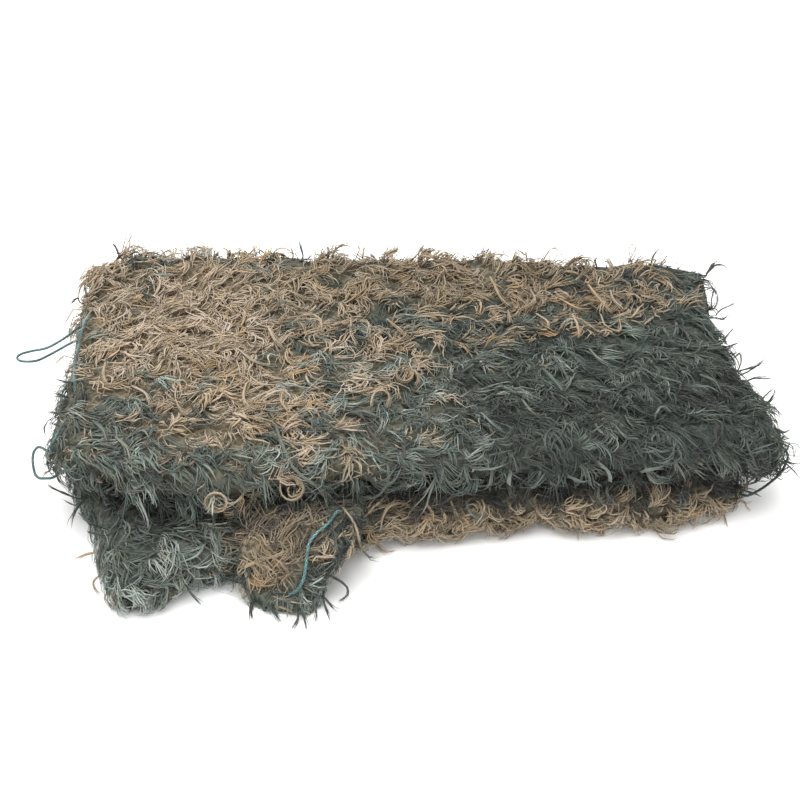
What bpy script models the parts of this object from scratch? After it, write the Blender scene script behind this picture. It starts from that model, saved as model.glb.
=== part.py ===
"""A fringed camouflage net, folded back and forth into a thick pad that lies on its underside.

The net and its shag are one lumpy slab. From a free edge at the back it runs forward, round a
front fold, back, round a back fold, forward, round a second front fold and back to its other free
edge: two thick packs with a crevice between their rounded fronts. The lower pack's left corner is
pulled forward into a lump, and a loose corner of the net hangs out of the crevice to the floor.
Locks of shag stand out at the rim. A thin draw cord shows where it leaves the edge.

Units are metres, +Z up. The tables are drawn about the pad's middle, and DRAWING_CENTRE is the
point of the drawing that lies under the middle of the finished net, which is moved to the origin.
"""

import math
import random

import bmesh
import bpy
from mathutils import Vector
from mathutils.bvhtree import BVHTree

OBJECT_NAME = "camouflage_net"
DRAWING_CENTRE = Vector((0.0013, -0.0550, 0.0))

# One row for each cross-section of the pad, from its left end to its right end.
SECTION_COLUMNS = ("x", "upper_front", "lower_front", "back", "height")
SECTIONS = (
    (-0.378, -0.158, -0.186, 0.166, 0.111),
    (-0.352, -0.190, -0.240, 0.178, 0.121),
    (-0.300, -0.212, -0.284, 0.183, 0.124),
    (-0.245, -0.225, -0.296, 0.183, 0.126),
    (-0.195, -0.227, -0.270, 0.182, 0.126),
    (-0.155, -0.220, -0.226, 0.180, 0.125),
    (-0.105, -0.208, -0.206, 0.178, 0.124),
    (-0.010, -0.195, -0.201, 0.175, 0.122),
    (0.100, -0.190, -0.196, 0.170, 0.121),
    (0.210, -0.180, -0.182, 0.163, 0.119),
    (0.315, -0.164, -0.160, 0.158, 0.115),
    (0.362, -0.146, -0.136, 0.150, 0.103),
)
STATION_COUNT = 31
END_ROUNDING = 0.018  # length over which the layers thin at the pad's two ends
END_THICKNESS = 0.42  # share of a layer's thickness left at the very end
END_STEPS = (0.0, 0.12, 0.45)  # shares of that length at which its sections stand

# What shifts along X: how far, then the spans of x, y and z from whose first to second value it
# grows.
SHIFTS = {
    "upper right corner": (0.034, (0.10, 0.35), (0.04, -0.17), (0.045, 0.075)),
    "lump's left side": (0.022, (-0.26, -0.35), (-0.13, -0.20), (0.070, 0.050)),
}

# The slab's layers and folds.
LAYER_GAP = 0.004
CREVICE_GAP = 0.005
FRONT_FOLD_DEPTH = 0.034  # how far a round front reaches past its straight layers
BACK_FOLD_DEPTH = 0.030
FREE_EDGE_DEPTH = 0.012
BACK_DROP = 0.07  # share of its height that the pad loses towards its back
BACK_DROP_SPAN = (-0.06, 0.20)  # y
LUMP_DROOP = 0.22  # share of its height that the lower pack loses where it is pulled forward
LUMP_DROOP_SPAN = (-0.20, -0.29)  # y
FRONT_WAVE = 0.004
FRONT_WAVE_LENGTH = 0.083
HILL_HEIGHT = 0.014
HILL_SHARES = (0.0, 0.08, 0.10, 0.14, 1.0)  # at the underside, at each boundary up, and on top
# length along X, length along Y, phase
HILLS = ((0.150, 0.190, 0.4), (0.083, 0.117, 2.1), (0.061, 0.089, 4.4))

# The layers and folds in order along the sheet. Levels count up from the underside, 0 to 4.
RUN_COLUMNS = ("name", "upper_level", "lower_level", "points")
RUNS = (
    ("top layer", 4, 3, 9),
    ("upper front fold", 4, 2, 5),
    ("second layer", 3, 2, 6),
    ("back fold", 3, 1, 5),
    ("third layer", 2, 1, 6),
    ("lower front fold", 2, 0, 5),
    ("bottom layer", 1, 0, 7),
)

# The loose corner that hangs out of the crevice, from its root to its tip.
CORNER_COLUMNS = ("x", "y", "z", "half_width", "half_thickness")
LOOSE_CORNER = (
    (-0.100, -0.150, 0.0585, 0.044, 0.0030),
    (-0.101, -0.190, 0.0600, 0.049, 0.0045),
    (-0.103, -0.218, 0.0630, 0.054, 0.0085),
    (-0.106, -0.244, 0.0580, 0.056, 0.0100),
    (-0.109, -0.262, 0.0420, 0.055, 0.0100),
    (-0.111, -0.272, 0.0240, 0.052, 0.0095),
    (-0.112, -0.284, 0.0110, 0.046, 0.0085),
    (-0.112, -0.300, 0.0072, 0.034, 0.0065),
)
CORNER_SIDES = 10
CORNER_STEPS = 14
CORNER_CRUMPLE = 0.16  # how much its section swells and shrinks, as a share of its size
CRUMPLE_TURNS = 3  # swellings round the section
CRUMPLE_TWIST = 1.1  # how far they turn from one row of the table to the next, in radians
CORNER_LOOK = 0.05  # share of a table row looked ahead and back for its direction
CORNER_FLOOR = 0.0004  # least height of the corner's underside
CORNER_LOCK_FACING = 0.3  # its faces that look further back than this carry no locks

# Where the slab's rim carries locks: the run, the side of the sheet, and the first and last station
# counted from the run's own start. Side a is the top, the fronts and the underside, b is the rest.
RIM = (
    ("top layer", "a", -1, 1),
    ("upper front fold", "a", -2, 4),
    ("lower front fold", "a", -1, 4),
    ("back fold", "b", 0, 4),
)

# Locks of shag.
LOCK_SEED = 61
LOCK_TRIES = 12
LOCK_LENGTHS = (0.018, 0.034)
LOCK_SAG = 0.30
LOCK_CURL = 0.45
LOCK_JITTER = 0.45
LOCK_CLEARANCE = 0.0065  # least distance of a lock's middle line from other locks and from the slab
LOCK_FLOOR = 0.003  # lowest height of a lock's middle line
LOCK_LIFT = 0.001  # how far out of the surface the look ahead of a lock starts
# share of the length, share of the root's size
LOCK_RINGS = ((0.06, 0.50), (0.52, 0.34), (1.0, 0.09))

# The draw cord along the net's edge, where it shows: points on each stretch's middle line.
CORD_DIAMETER = 0.003
CORD_STEP = 2 * CORD_DIAMETER
CORD_BEVEL_RESOLUTION = 2
CURVE_SAMPLES = 12  # between two points of a route, from which the even steps are read
CORD_TO_LOCK = 0.009  # least distance from a cord's middle line to a lock's
CORD_ROUTES = {
    "edge_cord_run": (
        (-0.3694, 0.0595, 0.1084),
        (-0.3730, 0.0600, 0.1135),
        (-0.3750, 0.0450, 0.1150),
        (-0.3755, 0.0280, 0.1160),
        (-0.3740, 0.0080, 0.1165),
        (-0.3730, -0.0120, 0.1155),
        (-0.3710, -0.0360, 0.1160),
        (-0.3660, -0.0580, 0.1232),
        (-0.3600, -0.0800, 0.1280),
        (-0.3576, -0.0924, 0.1228),
    ),
    "edge_cord_upper_loop": (
        (-0.3784, 0.0640, 0.0980),
        (-0.3840, 0.0640, 0.0985),
        (-0.3910, 0.0510, 0.1000),
        (-0.3980, 0.0400, 0.0995),
        (-0.4070, 0.0310, 0.0975),
        (-0.4200, 0.0240, 0.0940),
        (-0.4370, 0.0230, 0.0905),
        (-0.4490, 0.0210, 0.0880),
        (-0.4530, 0.0155, 0.0870),
        (-0.4490, 0.0100, 0.0865),
        (-0.4400, 0.0075, 0.0870),
        (-0.4280, 0.0075, 0.0885),
        (-0.4160, 0.0120, 0.0920),
        (-0.4040, 0.0180, 0.0960),
        (-0.3940, 0.0260, 0.0980),
        (-0.3850, 0.0330, 0.0985),
        (-0.3786, 0.0330, 0.0985),
    ),
    "edge_cord_lower_run": (
        (-0.3588, -0.1342, 0.1202),
        (-0.3605, -0.1490, 0.1225),
        (-0.3660, -0.1610, 0.1165),
        (-0.3700, -0.1670, 0.1095),
        (-0.3689, -0.1676, 0.1029),
    ),
    "edge_cord_lower_loop": (
        (-0.3760, -0.1557, 0.0946),
        (-0.3820, -0.1530, 0.0940),
        (-0.3870, -0.1470, 0.0915),
        (-0.3930, -0.1435, 0.0890),
        (-0.3965, -0.1470, 0.0860),
        (-0.3965, -0.1540, 0.0843),
        (-0.3950, -0.1610, 0.0830),
        (-0.3925, -0.1690, 0.0812),
        (-0.3895, -0.1755, 0.0790),
        (-0.3850, -0.1785, 0.0773),
        (-0.3790, -0.1785, 0.0770),
        (-0.3720, -0.1785, 0.0778),
        (-0.3655, -0.1745, 0.0792),
    ),
    "edge_cord_corner": (
        (-0.0703, -0.2218, 0.0710),
        (-0.0740, -0.2245, 0.0734),
        (-0.0820, -0.2390, 0.0720),
        (-0.0930, -0.2490, 0.0685),
        (-0.1005, -0.2585, 0.0634),
        (-0.1025, -0.2665, 0.0558),
        (-0.1040, -0.2745, 0.0458),
        (-0.1065, -0.2805, 0.0348),
        (-0.1120, -0.2865, 0.0264),
        (-0.1209, -0.2890, 0.0209),
    ),
    "edge_cord_right_arc": (
        (0.3922, -0.1376, 0.0814),
        (0.3985, -0.1400, 0.0825),
        (0.4010, -0.1460, 0.0780),
        (0.3995, -0.1485, 0.0680),
        (0.3965, -0.1490, 0.0570),
        (0.3890, -0.1510, 0.0475),
        (0.3780, -0.1550, 0.0395),
        (0.3660, -0.1580, 0.0335),
        (0.3605, -0.1560, 0.0310),
        (0.3527, -0.1443, 0.0268),
    ),
}


def column(rows, names, name):
    place = names.index(name)
    return [row[place] for row in rows]


def smooth_value(keys, values, key):
    """Cubic Hermite curve through the values, held beyond its ends."""
    if key <= keys[0]:
        return values[0]
    if key >= keys[-1]:
        return values[-1]
    k = max(i for i in range(len(keys) - 1) if keys[i] <= key)
    span = keys[k + 1] - keys[k]
    t = (key - keys[k]) / span

    def slope(i):
        before, after = max(i - 1, 0), min(i + 1, len(keys) - 1)
        return (values[after] - values[before]) / (keys[after] - keys[before])

    return (
        values[k] * (2 * t**3 - 3 * t**2 + 1)
        + values[k + 1] * (3 * t**2 - 2 * t**3)
        + span * slope(k) * (t**3 - 2 * t**2 + t)
        + span * slope(k + 1) * (t**3 - t**2)
    )


def section_value(name, x):
    keys = column(SECTIONS, SECTION_COLUMNS, "x")
    return smooth_value(keys, column(SECTIONS, SECTION_COLUMNS, name), x)


def smooth_step(start, end, value):
    t = min(max((value - start) / (end - start), 0.0), 1.0)
    return t * t * (3 - 2 * t)


def evenly(start, end, count):
    return [start + (end - start) * i / (count - 1) for i in range(count)]


def smooth_path(route, step):
    """Points about a step apart on a Catmull-Rom curve through the route."""
    knots = [Vector(point) for point in route]
    knots = [2 * knots[0] - knots[1]] + knots + [2 * knots[-1] - knots[-2]]
    fine = []
    for before, start, end, after in zip(knots, knots[1:], knots[2:], knots[3:]):
        leave, arrive = (end - before) / 2, (after - start) / 2
        for t in evenly(0, 1, CURVE_SAMPLES + 1)[:-1]:
            fine.append(
                start * (2 * t**3 - 3 * t**2 + 1)
                + end * (3 * t**2 - 2 * t**3)
                + leave * (t**3 - 2 * t**2 + t)
                + arrive * (t**3 - t**2)
            )
    fine.append(knots[-2])
    lengths = [0.0]
    for start, end in zip(fine, fine[1:]):
        lengths.append(lengths[-1] + (end - start).length)
    count = max(round(lengths[-1] / step), 2) + 1
    path = []
    for wanted in evenly(0, lengths[-1], count):
        k = max(i for i in range(len(fine) - 1) if lengths[i] <= wanted + 1e-9)
        share = (wanted - lengths[k]) / max(lengths[k + 1] - lengths[k], 1e-9)
        path.append(fine[k].lerp(fine[k + 1], min(share, 1.0)))
    return path


# The slab.


def hills(x, y):
    """Soft hills and hollows, about -1 to 1."""
    waves = [
        math.sin(2 * math.pi * x / length_x + phase)
        * math.sin(2 * math.pi * y / length_y + 2 * phase)
        for length_x, length_y, phase in HILLS
    ]
    return sum(waves) / len(waves)


def level_height(level, x, y):
    """Height of the boundary between two layers; 0 is the flat underside and 4 the top."""
    height = section_value("height", x) * (1 - BACK_DROP * smooth_step(*BACK_DROP_SPAN, y))
    droop = LUMP_DROOP * smooth_step(*LUMP_DROOP_SPAN, y) if level <= 2 else 0.0
    return level / 4 * height * (1 - droop) + HILL_HEIGHT * HILL_SHARES[level] * hills(x, y)


def level_gap(level):
    """Half the air gap on either side of a boundary."""
    return {0: 0.0, 2: CREVICE_GAP / 2, 4: 0.0}.get(level, LAYER_GAP / 2)


def layer_stations(x, upper, lower, start, end, count, first_is_top):
    """(middle, side A, side B) at points along a straight layer."""
    stations = []
    for y in evenly(start, end, count):
        top = Vector((y, level_height(upper, x, y) - level_gap(upper)))
        bottom = Vector((y, level_height(lower, x, y) + level_gap(lower)))
        sides = (top, bottom) if first_is_top else (bottom, top)
        stations.append(((top + bottom) / 2, *sides))
    return stations


def fold_stations(x, upper, lower, y, depth, count, towards, first_is_outer):
    """The same round a fold, whose outer side is half an ellipse and inner side half a circle."""
    between = (upper + lower) // 2
    centre = Vector((y, level_height(between, x, y)))
    above = level_height(upper, x, y) - level_gap(upper) - centre.y
    below = centre.y - level_height(lower, x, y) - level_gap(lower)
    stations = []
    for i in range(1, count + 1):
        angle = math.pi / 2 - math.pi * i / (count + 1)
        if not first_is_outer:
            angle = -angle if upper < 3 else angle
        reach = Vector((towards * math.cos(angle), math.sin(angle)))
        outer = centre + Vector((reach.x * depth, reach.y * (above if reach.y > 0 else below)))
        inner = centre + reach * level_gap(between)
        sides = (outer, inner) if first_is_outer else (inner, outer)
        stations.append(((outer + inner) / 2, *sides))
    return stations


def free_edge_station(station):
    """A thinner station past the end of a layer, which rounds its free edge."""
    middle, side_a, side_b = station
    past = Vector((FREE_EDGE_DEPTH, 0))
    return (middle + past, middle.lerp(side_a, 0.5) + past, middle.lerp(side_b, 0.5) + past)


def sheet_stations(x):
    """The whole sheet's stations in the YZ plane, from one free edge to the other."""
    wave = FRONT_WAVE * math.sin(2 * math.pi * x / FRONT_WAVE_LENGTH)
    upper_fold = section_value("upper_front", x) + wave + FRONT_FOLD_DEPTH
    lower_fold = section_value("lower_front", x) - wave + FRONT_FOLD_DEPTH
    back = section_value("back", x)
    edge = back - FREE_EDGE_DEPTH
    back_fold = back - BACK_FOLD_DEPTH
    counts = dict(zip(column(RUNS, RUN_COLUMNS, "name"), column(RUNS, RUN_COLUMNS, "points")))
    levels = {row[0]: row[1:3] for row in RUNS}

    def layer(name, start, end, first_is_top):
        return layer_stations(x, *levels[name], start, end, counts[name], first_is_top)

    def fold(name, y, depth, towards, first_is_outer):
        return fold_stations(x, *levels[name], y, depth, counts[name], towards, first_is_outer)

    top = layer("top layer", edge, upper_fold, True)
    bottom = layer("bottom layer", lower_fold, edge, False)
    return (
        [free_edge_station(top[0])]
        + top
        + fold("upper front fold", upper_fold, FRONT_FOLD_DEPTH, -1, True)
        + layer("second layer", upper_fold, back_fold, False)
        + fold("back fold", back_fold, BACK_FOLD_DEPTH, 1, False)
        + layer("third layer", back_fold, lower_fold, True)
        + fold("lower front fold", lower_fold, FRONT_FOLD_DEPTH, -1, True)
        + bottom
        + [free_edge_station(bottom[-1])]
    )


def end_thickness(x):
    """Share of a layer's thickness at x: 1 along the pad, less where its ends are rounded."""
    keys = column(SECTIONS, SECTION_COLUMNS, "x")
    inside = min(x - keys[0], keys[-1] - x)
    if inside >= END_ROUNDING:
        return 1.0
    past = 1 - inside / END_ROUNDING
    return END_THICKNESS + (1 - END_THICKNESS) * math.sqrt(1 - past * past)


def plan_place(x, y, z):
    """Where a point of the section at x lies once the pad's corners have shifted."""
    shifted = x
    for shift, x_span, y_span, z_span in SHIFTS.values():
        shifted += shift * smooth_step(*x_span, x) * smooth_step(*y_span, y) * smooth_step(*z_span, z)
    return Vector((shifted, y, z))


def station_places():
    """x of each cross-section, closer together where the ends are rounded."""
    keys = column(SECTIONS, SECTION_COLUMNS, "x")
    rounded = [step * END_ROUNDING for step in END_STEPS]
    inner = evenly(keys[0] + END_ROUNDING, keys[-1] - END_ROUNDING, STATION_COUNT - 2 * len(rounded))
    return [keys[0] + step for step in rounded] + inner + [keys[-1] - step for step in reversed(rounded)]


def slab_mesh():
    """The slab, lofted along X. Returns the bmesh and its faces by (strip, place round the outline)."""
    mesh = bmesh.new()
    rings = []
    for x in station_places():
        thickness = end_thickness(x)
        stations = sheet_stations(x)
        side_a = [middle.lerp(a, thickness) for middle, a, _ in stations]
        side_b = [middle.lerp(b, thickness) for middle, _, b in stations]
        outline = side_a + side_b[::-1]
        rings.append([mesh.verts.new(plan_place(x, point.x, point.y)) for point in outline])
    faces = {}
    size = len(rings[0])
    for strip, (ring, following) in enumerate(zip(rings, rings[1:])):
        for place in range(size):
            after = (place + 1) % size
            corners = (ring[place], following[place], following[after], ring[after])
            faces["side", strip, place] = mesh.faces.new(corners)
    for end, ring in (("left", rings[0]), ("right", rings[-1])):
        for place in range(size // 2 - 1):
            corners = (ring[place], ring[place + 1], ring[size - 2 - place], ring[size - 1 - place])
            faces[end, 0, place] = mesh.faces.new(corners)
    bmesh.ops.recalc_face_normals(mesh, faces=mesh.faces)
    return mesh, faces


# Locks.


def run_start(name):
    """Place along the sheet of a run's first station."""
    names = column(RUNS, RUN_COLUMNS, "name")
    return 1 + sum(column(RUNS, RUN_COLUMNS, "points")[: names.index(name)])


def rim_faces(faces):
    """Every third face along the fronts and the back, and every other one of the layers' ends."""
    last_station = 1 + sum(column(RUNS, RUN_COLUMNS, "points"))
    chosen = []
    for name, side, first, last in RIM:
        for step in range(first, last):
            station = run_start(name) + step
            place = station if side == "a" else 2 * last_station - station
            strips = [strip for strip in range(1, STATION_COUNT - 2) if (strip + 2 * station) % 3 == 0]
            chosen += [faces["side", strip, place] for strip in strips]
    for name, _, _, points in RUNS:
        if name.endswith("layer"):
            stations = range(run_start(name), run_start(name) + points - 1, 2)
            chosen += [faces[end, 0, station] for end in ("left", "right") for station in stations]
    return chosen


def corner_rim_faces(faces):
    """Every other face on the loose corner's sides and round its tip."""
    return [
        face
        for (strip, place), face in faces.items()
        if strip > CORNER_STEPS // 2 and (strip + place) % 2 and face.normal.y < CORNER_LOCK_FACING
    ]


def lock_path(root, out, dice):
    """Middle points of a lock that leaves its root along out, curls to one side and sags."""
    length = dice.uniform(*LOCK_LENGTHS)
    along = (out + Vector([dice.uniform(-LOCK_JITTER, LOCK_JITTER) for _ in range(3)])).normalized()
    side = along.cross(Vector([dice.uniform(-1, 1) for _ in range(3)])).normalized()
    bend = side * LOCK_CURL + Vector((0, 0, -LOCK_SAG))
    path = [root + (along * share + bend * share**2) * length for share, _ in LOCK_RINGS]
    for point in path:
        point.z = max(point.z, LOCK_FLOOR)
    return path


def with_halfway_points(path):
    return path + [start.lerp(end, 0.5) for start, end in zip(path, path[1:])]


def is_clear(path, out, tree, taken, cords):
    """Whether a lock keeps its clearance from the slab, the cords and the locks made so far."""
    ahead = path[-1] - path[0]
    if tree.ray_cast(path[0] + out * LOCK_LIFT, ahead, 2 * ahead.length)[0]:
        return False
    for point in path[1:]:
        near, normal, _, distance = tree.find_nearest(point)
        if distance < LOCK_CLEARANCE or (point - near).dot(normal) < 0:
            return False
    if any((point - cord).length < CORD_TO_LOCK for point in path for cord in cords):
        return False
    path = with_halfway_points(path)
    return all((point - other).length > LOCK_CLEARANCE for point in path for other in taken)


def raise_lock(mesh, face, path):
    """Draws one face out along a path into a lock that tapers to a small tip and stays above z = 0."""
    centre = face.calc_center_median()
    roots = [corner.co - centre for corner in face.verts]
    for point, (_, scale) in zip(path, LOCK_RINGS):
        face = bmesh.ops.extrude_discrete_faces(mesh, faces=[face])["faces"][0]
        for corner, root in zip(face.verts, roots):
            corner.co = point + root * scale
        lowest = min(corner.co.z for corner in face.verts)
        if lowest < 0:
            bmesh.ops.translate(mesh, verts=face.verts[:], vec=Vector((0, 0, -lowest)))


def add_locks(mesh, roots, cords):
    """Raises a lock at each face whose middle is in roots and where a clear path is found."""
    dice = random.Random(LOCK_SEED)
    tree = BVHTree.FromBMesh(mesh)
    faces = {tuple(round(value, 6) for value in face.calc_center_median()): face for face in mesh.faces}
    taken = []
    for root in roots:
        face = faces.get(tuple(round(value, 6) for value in root))
        if face is None:
            continue
        for _ in range(LOCK_TRIES):
            path = lock_path(root, face.normal, dice)
            if is_clear(path, face.normal, tree, taken, cords):
                taken += with_halfway_points(path)
                raise_lock(mesh, face, path)
                break


# The loose corner.


def corner_value(name, t):
    rows = column(LOOSE_CORNER, CORNER_COLUMNS, name)
    return smooth_value(list(range(len(rows))), rows, t)


def corner_middle(t):
    return Vector([corner_value(name, t) for name in ("x", "y", "z")])


def corner_mesh():
    """A flat tongue along its table's path. Returns the bmesh and its faces by (strip, place)."""
    mesh = bmesh.new()
    rings = []
    for t in evenly(0, len(LOOSE_CORNER) - 1, CORNER_STEPS):
        middle = corner_middle(t)
        ahead = corner_middle(t + CORNER_LOOK) - corner_middle(t - CORNER_LOOK)
        across = Vector((1, 0, 0))
        outward = across.cross(ahead).normalized()
        ring = []
        for i in range(CORNER_SIDES):
            angle = 2 * math.pi * (i + 0.5) / CORNER_SIDES
            crumple = 1 + CORNER_CRUMPLE * math.sin(CRUMPLE_TURNS * angle + t * CRUMPLE_TWIST)
            offset = across * corner_value("half_width", t) * math.cos(angle)
            offset += outward * corner_value("half_thickness", t) * math.sin(angle)
            place = middle + offset * crumple
            place.z = max(place.z, CORNER_FLOOR)
            ring.append(mesh.verts.new(place))
        rings.append(ring)
    faces = {}
    for strip, (ring, following) in enumerate(zip(rings, rings[1:])):
        for i in range(CORNER_SIDES):
            j = (i + 1) % CORNER_SIDES
            faces[strip, i] = mesh.faces.new((ring[i], following[i], following[j], ring[j]))
    mesh.faces.new(rings[0])
    mesh.faces.new(rings[-1])
    bmesh.ops.recalc_face_normals(mesh, faces=mesh.faces)
    return mesh, faces


# Objects.


def clear_scene():
    for item in list(bpy.data.objects):
        bpy.data.objects.remove(item, do_unlink=True)


def collection(name):
    made = bpy.data.collections.new(name)
    bpy.context.scene.collection.children.link(made)
    return made


def object_of(mesh, name, home):
    data = bpy.data.meshes.new(name)
    mesh.to_mesh(data)
    mesh.free()
    made = bpy.data.objects.new(name, data)
    home.objects.link(made)
    return made


def material(name, colour, roughness):
    made = bpy.data.materials.new(name)
    made.use_nodes = True
    shader = made.node_tree.nodes["Principled BSDF"]
    shader.inputs["Base Color"].default_value = (*colour, 1)
    shader.inputs["Roughness"].default_value = roughness
    return made


def build_net(home, helpers):
    """The slab and the loose corner joined into one solid, and then its locks."""
    slab, slab_faces = slab_mesh()
    corner, corner_faces = corner_mesh()
    picked = rim_faces(slab_faces) + corner_rim_faces(corner_faces)
    roots = [face.calc_center_median() for face in picked]
    net = object_of(slab, "net", home)
    helper = object_of(corner, "loose_corner", helpers)
    helper.hide_render = True
    helper.display_type = "WIRE"
    join = net.modifiers.new("loose corner", "BOOLEAN")
    join.operation = "UNION"
    join.object = helper
    joined = bpy.data.meshes.new_from_object(net.evaluated_get(bpy.context.evaluated_depsgraph_get()))
    net.modifiers.remove(join)
    mesh = bmesh.new()
    mesh.from_mesh(joined)
    cords = [point for route in CORD_ROUTES.values() for point in smooth_path(route, CORD_STEP)]
    add_locks(mesh, roots, cords)
    bmesh.ops.translate(mesh, verts=mesh.verts[:], vec=-DRAWING_CENTRE)
    mesh.to_mesh(net.data)
    mesh.free()
    net.data.materials.append(material("shag", (0.16, 0.15, 0.11), 0.95))


def build_cord(name, route, finish, home):
    data = bpy.data.curves.new(name, "CURVE")
    data.dimensions = "3D"
    path = [point - DRAWING_CENTRE for point in smooth_path(route, CORD_STEP)]
    spline = data.splines.new("POLY")
    spline.points.add(len(path) - 1)
    for point, place in zip(spline.points, path):
        point.co = (*place, 1)
    data.bevel_depth = CORD_DIAMETER / 2
    data.bevel_resolution = CORD_BEVEL_RESOLUTION
    data.use_fill_caps = True
    data.materials.append(finish)
    home.objects.link(bpy.data.objects.new(name, data))


def main():
    clear_scene()
    home, helpers = collection(OBJECT_NAME), collection("cutters")
    build_net(home, helpers)
    braid = material("braided cord", (0.06, 0.22, 0.21), 0.6)
    for name, route in CORD_ROUTES.items():
        build_cord(name, route, braid, home)


main()
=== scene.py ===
import math
import bpy
import numpy as np
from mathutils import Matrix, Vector
from mathutils.bvhtree import BVHTree


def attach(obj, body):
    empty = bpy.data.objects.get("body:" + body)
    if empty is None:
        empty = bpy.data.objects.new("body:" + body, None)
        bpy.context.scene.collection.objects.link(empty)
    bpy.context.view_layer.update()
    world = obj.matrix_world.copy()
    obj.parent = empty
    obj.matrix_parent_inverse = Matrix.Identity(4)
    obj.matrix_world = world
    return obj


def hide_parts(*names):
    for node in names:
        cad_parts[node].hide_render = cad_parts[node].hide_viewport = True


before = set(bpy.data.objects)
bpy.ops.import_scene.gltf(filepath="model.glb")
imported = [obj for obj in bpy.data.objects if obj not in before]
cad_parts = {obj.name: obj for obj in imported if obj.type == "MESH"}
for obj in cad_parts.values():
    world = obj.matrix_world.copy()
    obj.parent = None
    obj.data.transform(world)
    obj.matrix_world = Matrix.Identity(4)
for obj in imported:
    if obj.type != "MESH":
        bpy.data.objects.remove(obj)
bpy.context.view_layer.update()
bpy.ops.object.select_all(action="DESELECT")
scene = bpy.context.scene

# The folded pad is drawn about its own middle, and drawingCentre is the spot under the middle of the whole net.
drawingCentre = np.array([0.0013, -0.0550, 0.0])
lowest = 0.0003  # no strip goes nearer to the floor than this, in metres


def linearColour(hexText):
    parts = [int(hexText[i:i + 2], 16) / 255 for i in (1, 3, 5)]
    return [c / 12.92 if c <= 0.04045 else ((c + 0.055) / 1.055) ** 2.4 for c in parts] + [1.0]


def setInputs(tree, node, inputs):
    # links a socket, or sets a constant on the input itself
    for name, value in inputs.items():
        if isinstance(value, bpy.types.NodeSocket):
            tree.links.new(value, node.inputs[name])
        else:
            node.inputs[name].default_value = value


def addNode(tree, kind, settings=None, inputs=None):
    node = tree.nodes.new("ShaderNode" + kind)
    for name, value in (settings or {}).items():
        setattr(node, name, value)
    setInputs(tree, node, inputs or {})
    return node


def newMaterial(name):
    made = bpy.data.materials.new(name)
    made.use_nodes = True
    tree = made.node_tree
    return made, tree, tree.nodes["Principled BSDF"]


def objectPlace(tree):
    return addNode(tree, "TexCoord").outputs["Object"]


def attributeOf(tree, name):
    return addNode(tree, "Attribute", {"attribute_name": name}).outputs["Fac"]


def mathOf(tree, operation, *values):
    return addNode(tree, "Math", {"operation": operation}, dict(enumerate(values))).outputs[0]


def noiseOf(tree, place, scale, detail, roughness=0.5):
    return addNode(tree, "TexNoise", None, {"Vector": place, "Scale": scale, "Detail": detail,
                                            "Roughness": roughness}).outputs["Fac"]


def rangeOf(tree, value, fromMin, fromMax, toMin, toMax):
    return addNode(tree, "MapRange", None, {"Value": value, "From Min": fromMin, "From Max": fromMax,
                                            "To Min": toMin, "To Max": toMax}).outputs["Result"]


def rampOf(tree, value, stops):
    node = addNode(tree, "ValToRGB", None, {"Fac": value})
    elements = node.color_ramp.elements
    while len(elements) < len(stops):
        elements.new(0.5)
    for element, (place, hexText) in zip(elements, stops):
        element.position = place
        element.color = linearColour(hexText)
    return node.outputs["Color"]


def mixOf(tree, share, first, second, blend="MIX"):
    return addNode(tree, "Mix", {"data_type": "RGBA", "blend_type": blend}, {0: share, 6: first, 7: second}).outputs[2]


def bumpOf(tree, height, strength, distance):
    return addNode(tree, "Bump", None, {"Height": height, "Strength": strength, "Distance": distance}).outputs["Normal"]


# camera
cameraSettings = {"place": (-0.0114, -1.0615, 0.9530), "downDegrees": 39.4, "lens": 55.4}


def placeCamera(settings):
    data = bpy.data.cameras.new("camera")
    camera = bpy.data.objects.new("camera", data)
    scene.collection.objects.link(camera)
    data.lens = settings["lens"]
    camera.location = settings["place"]
    camera.rotation_euler = (math.radians(90 - settings["downDegrees"]), 0, 0)
    scene.camera = camera


placeCamera(cameraSettings)

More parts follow.
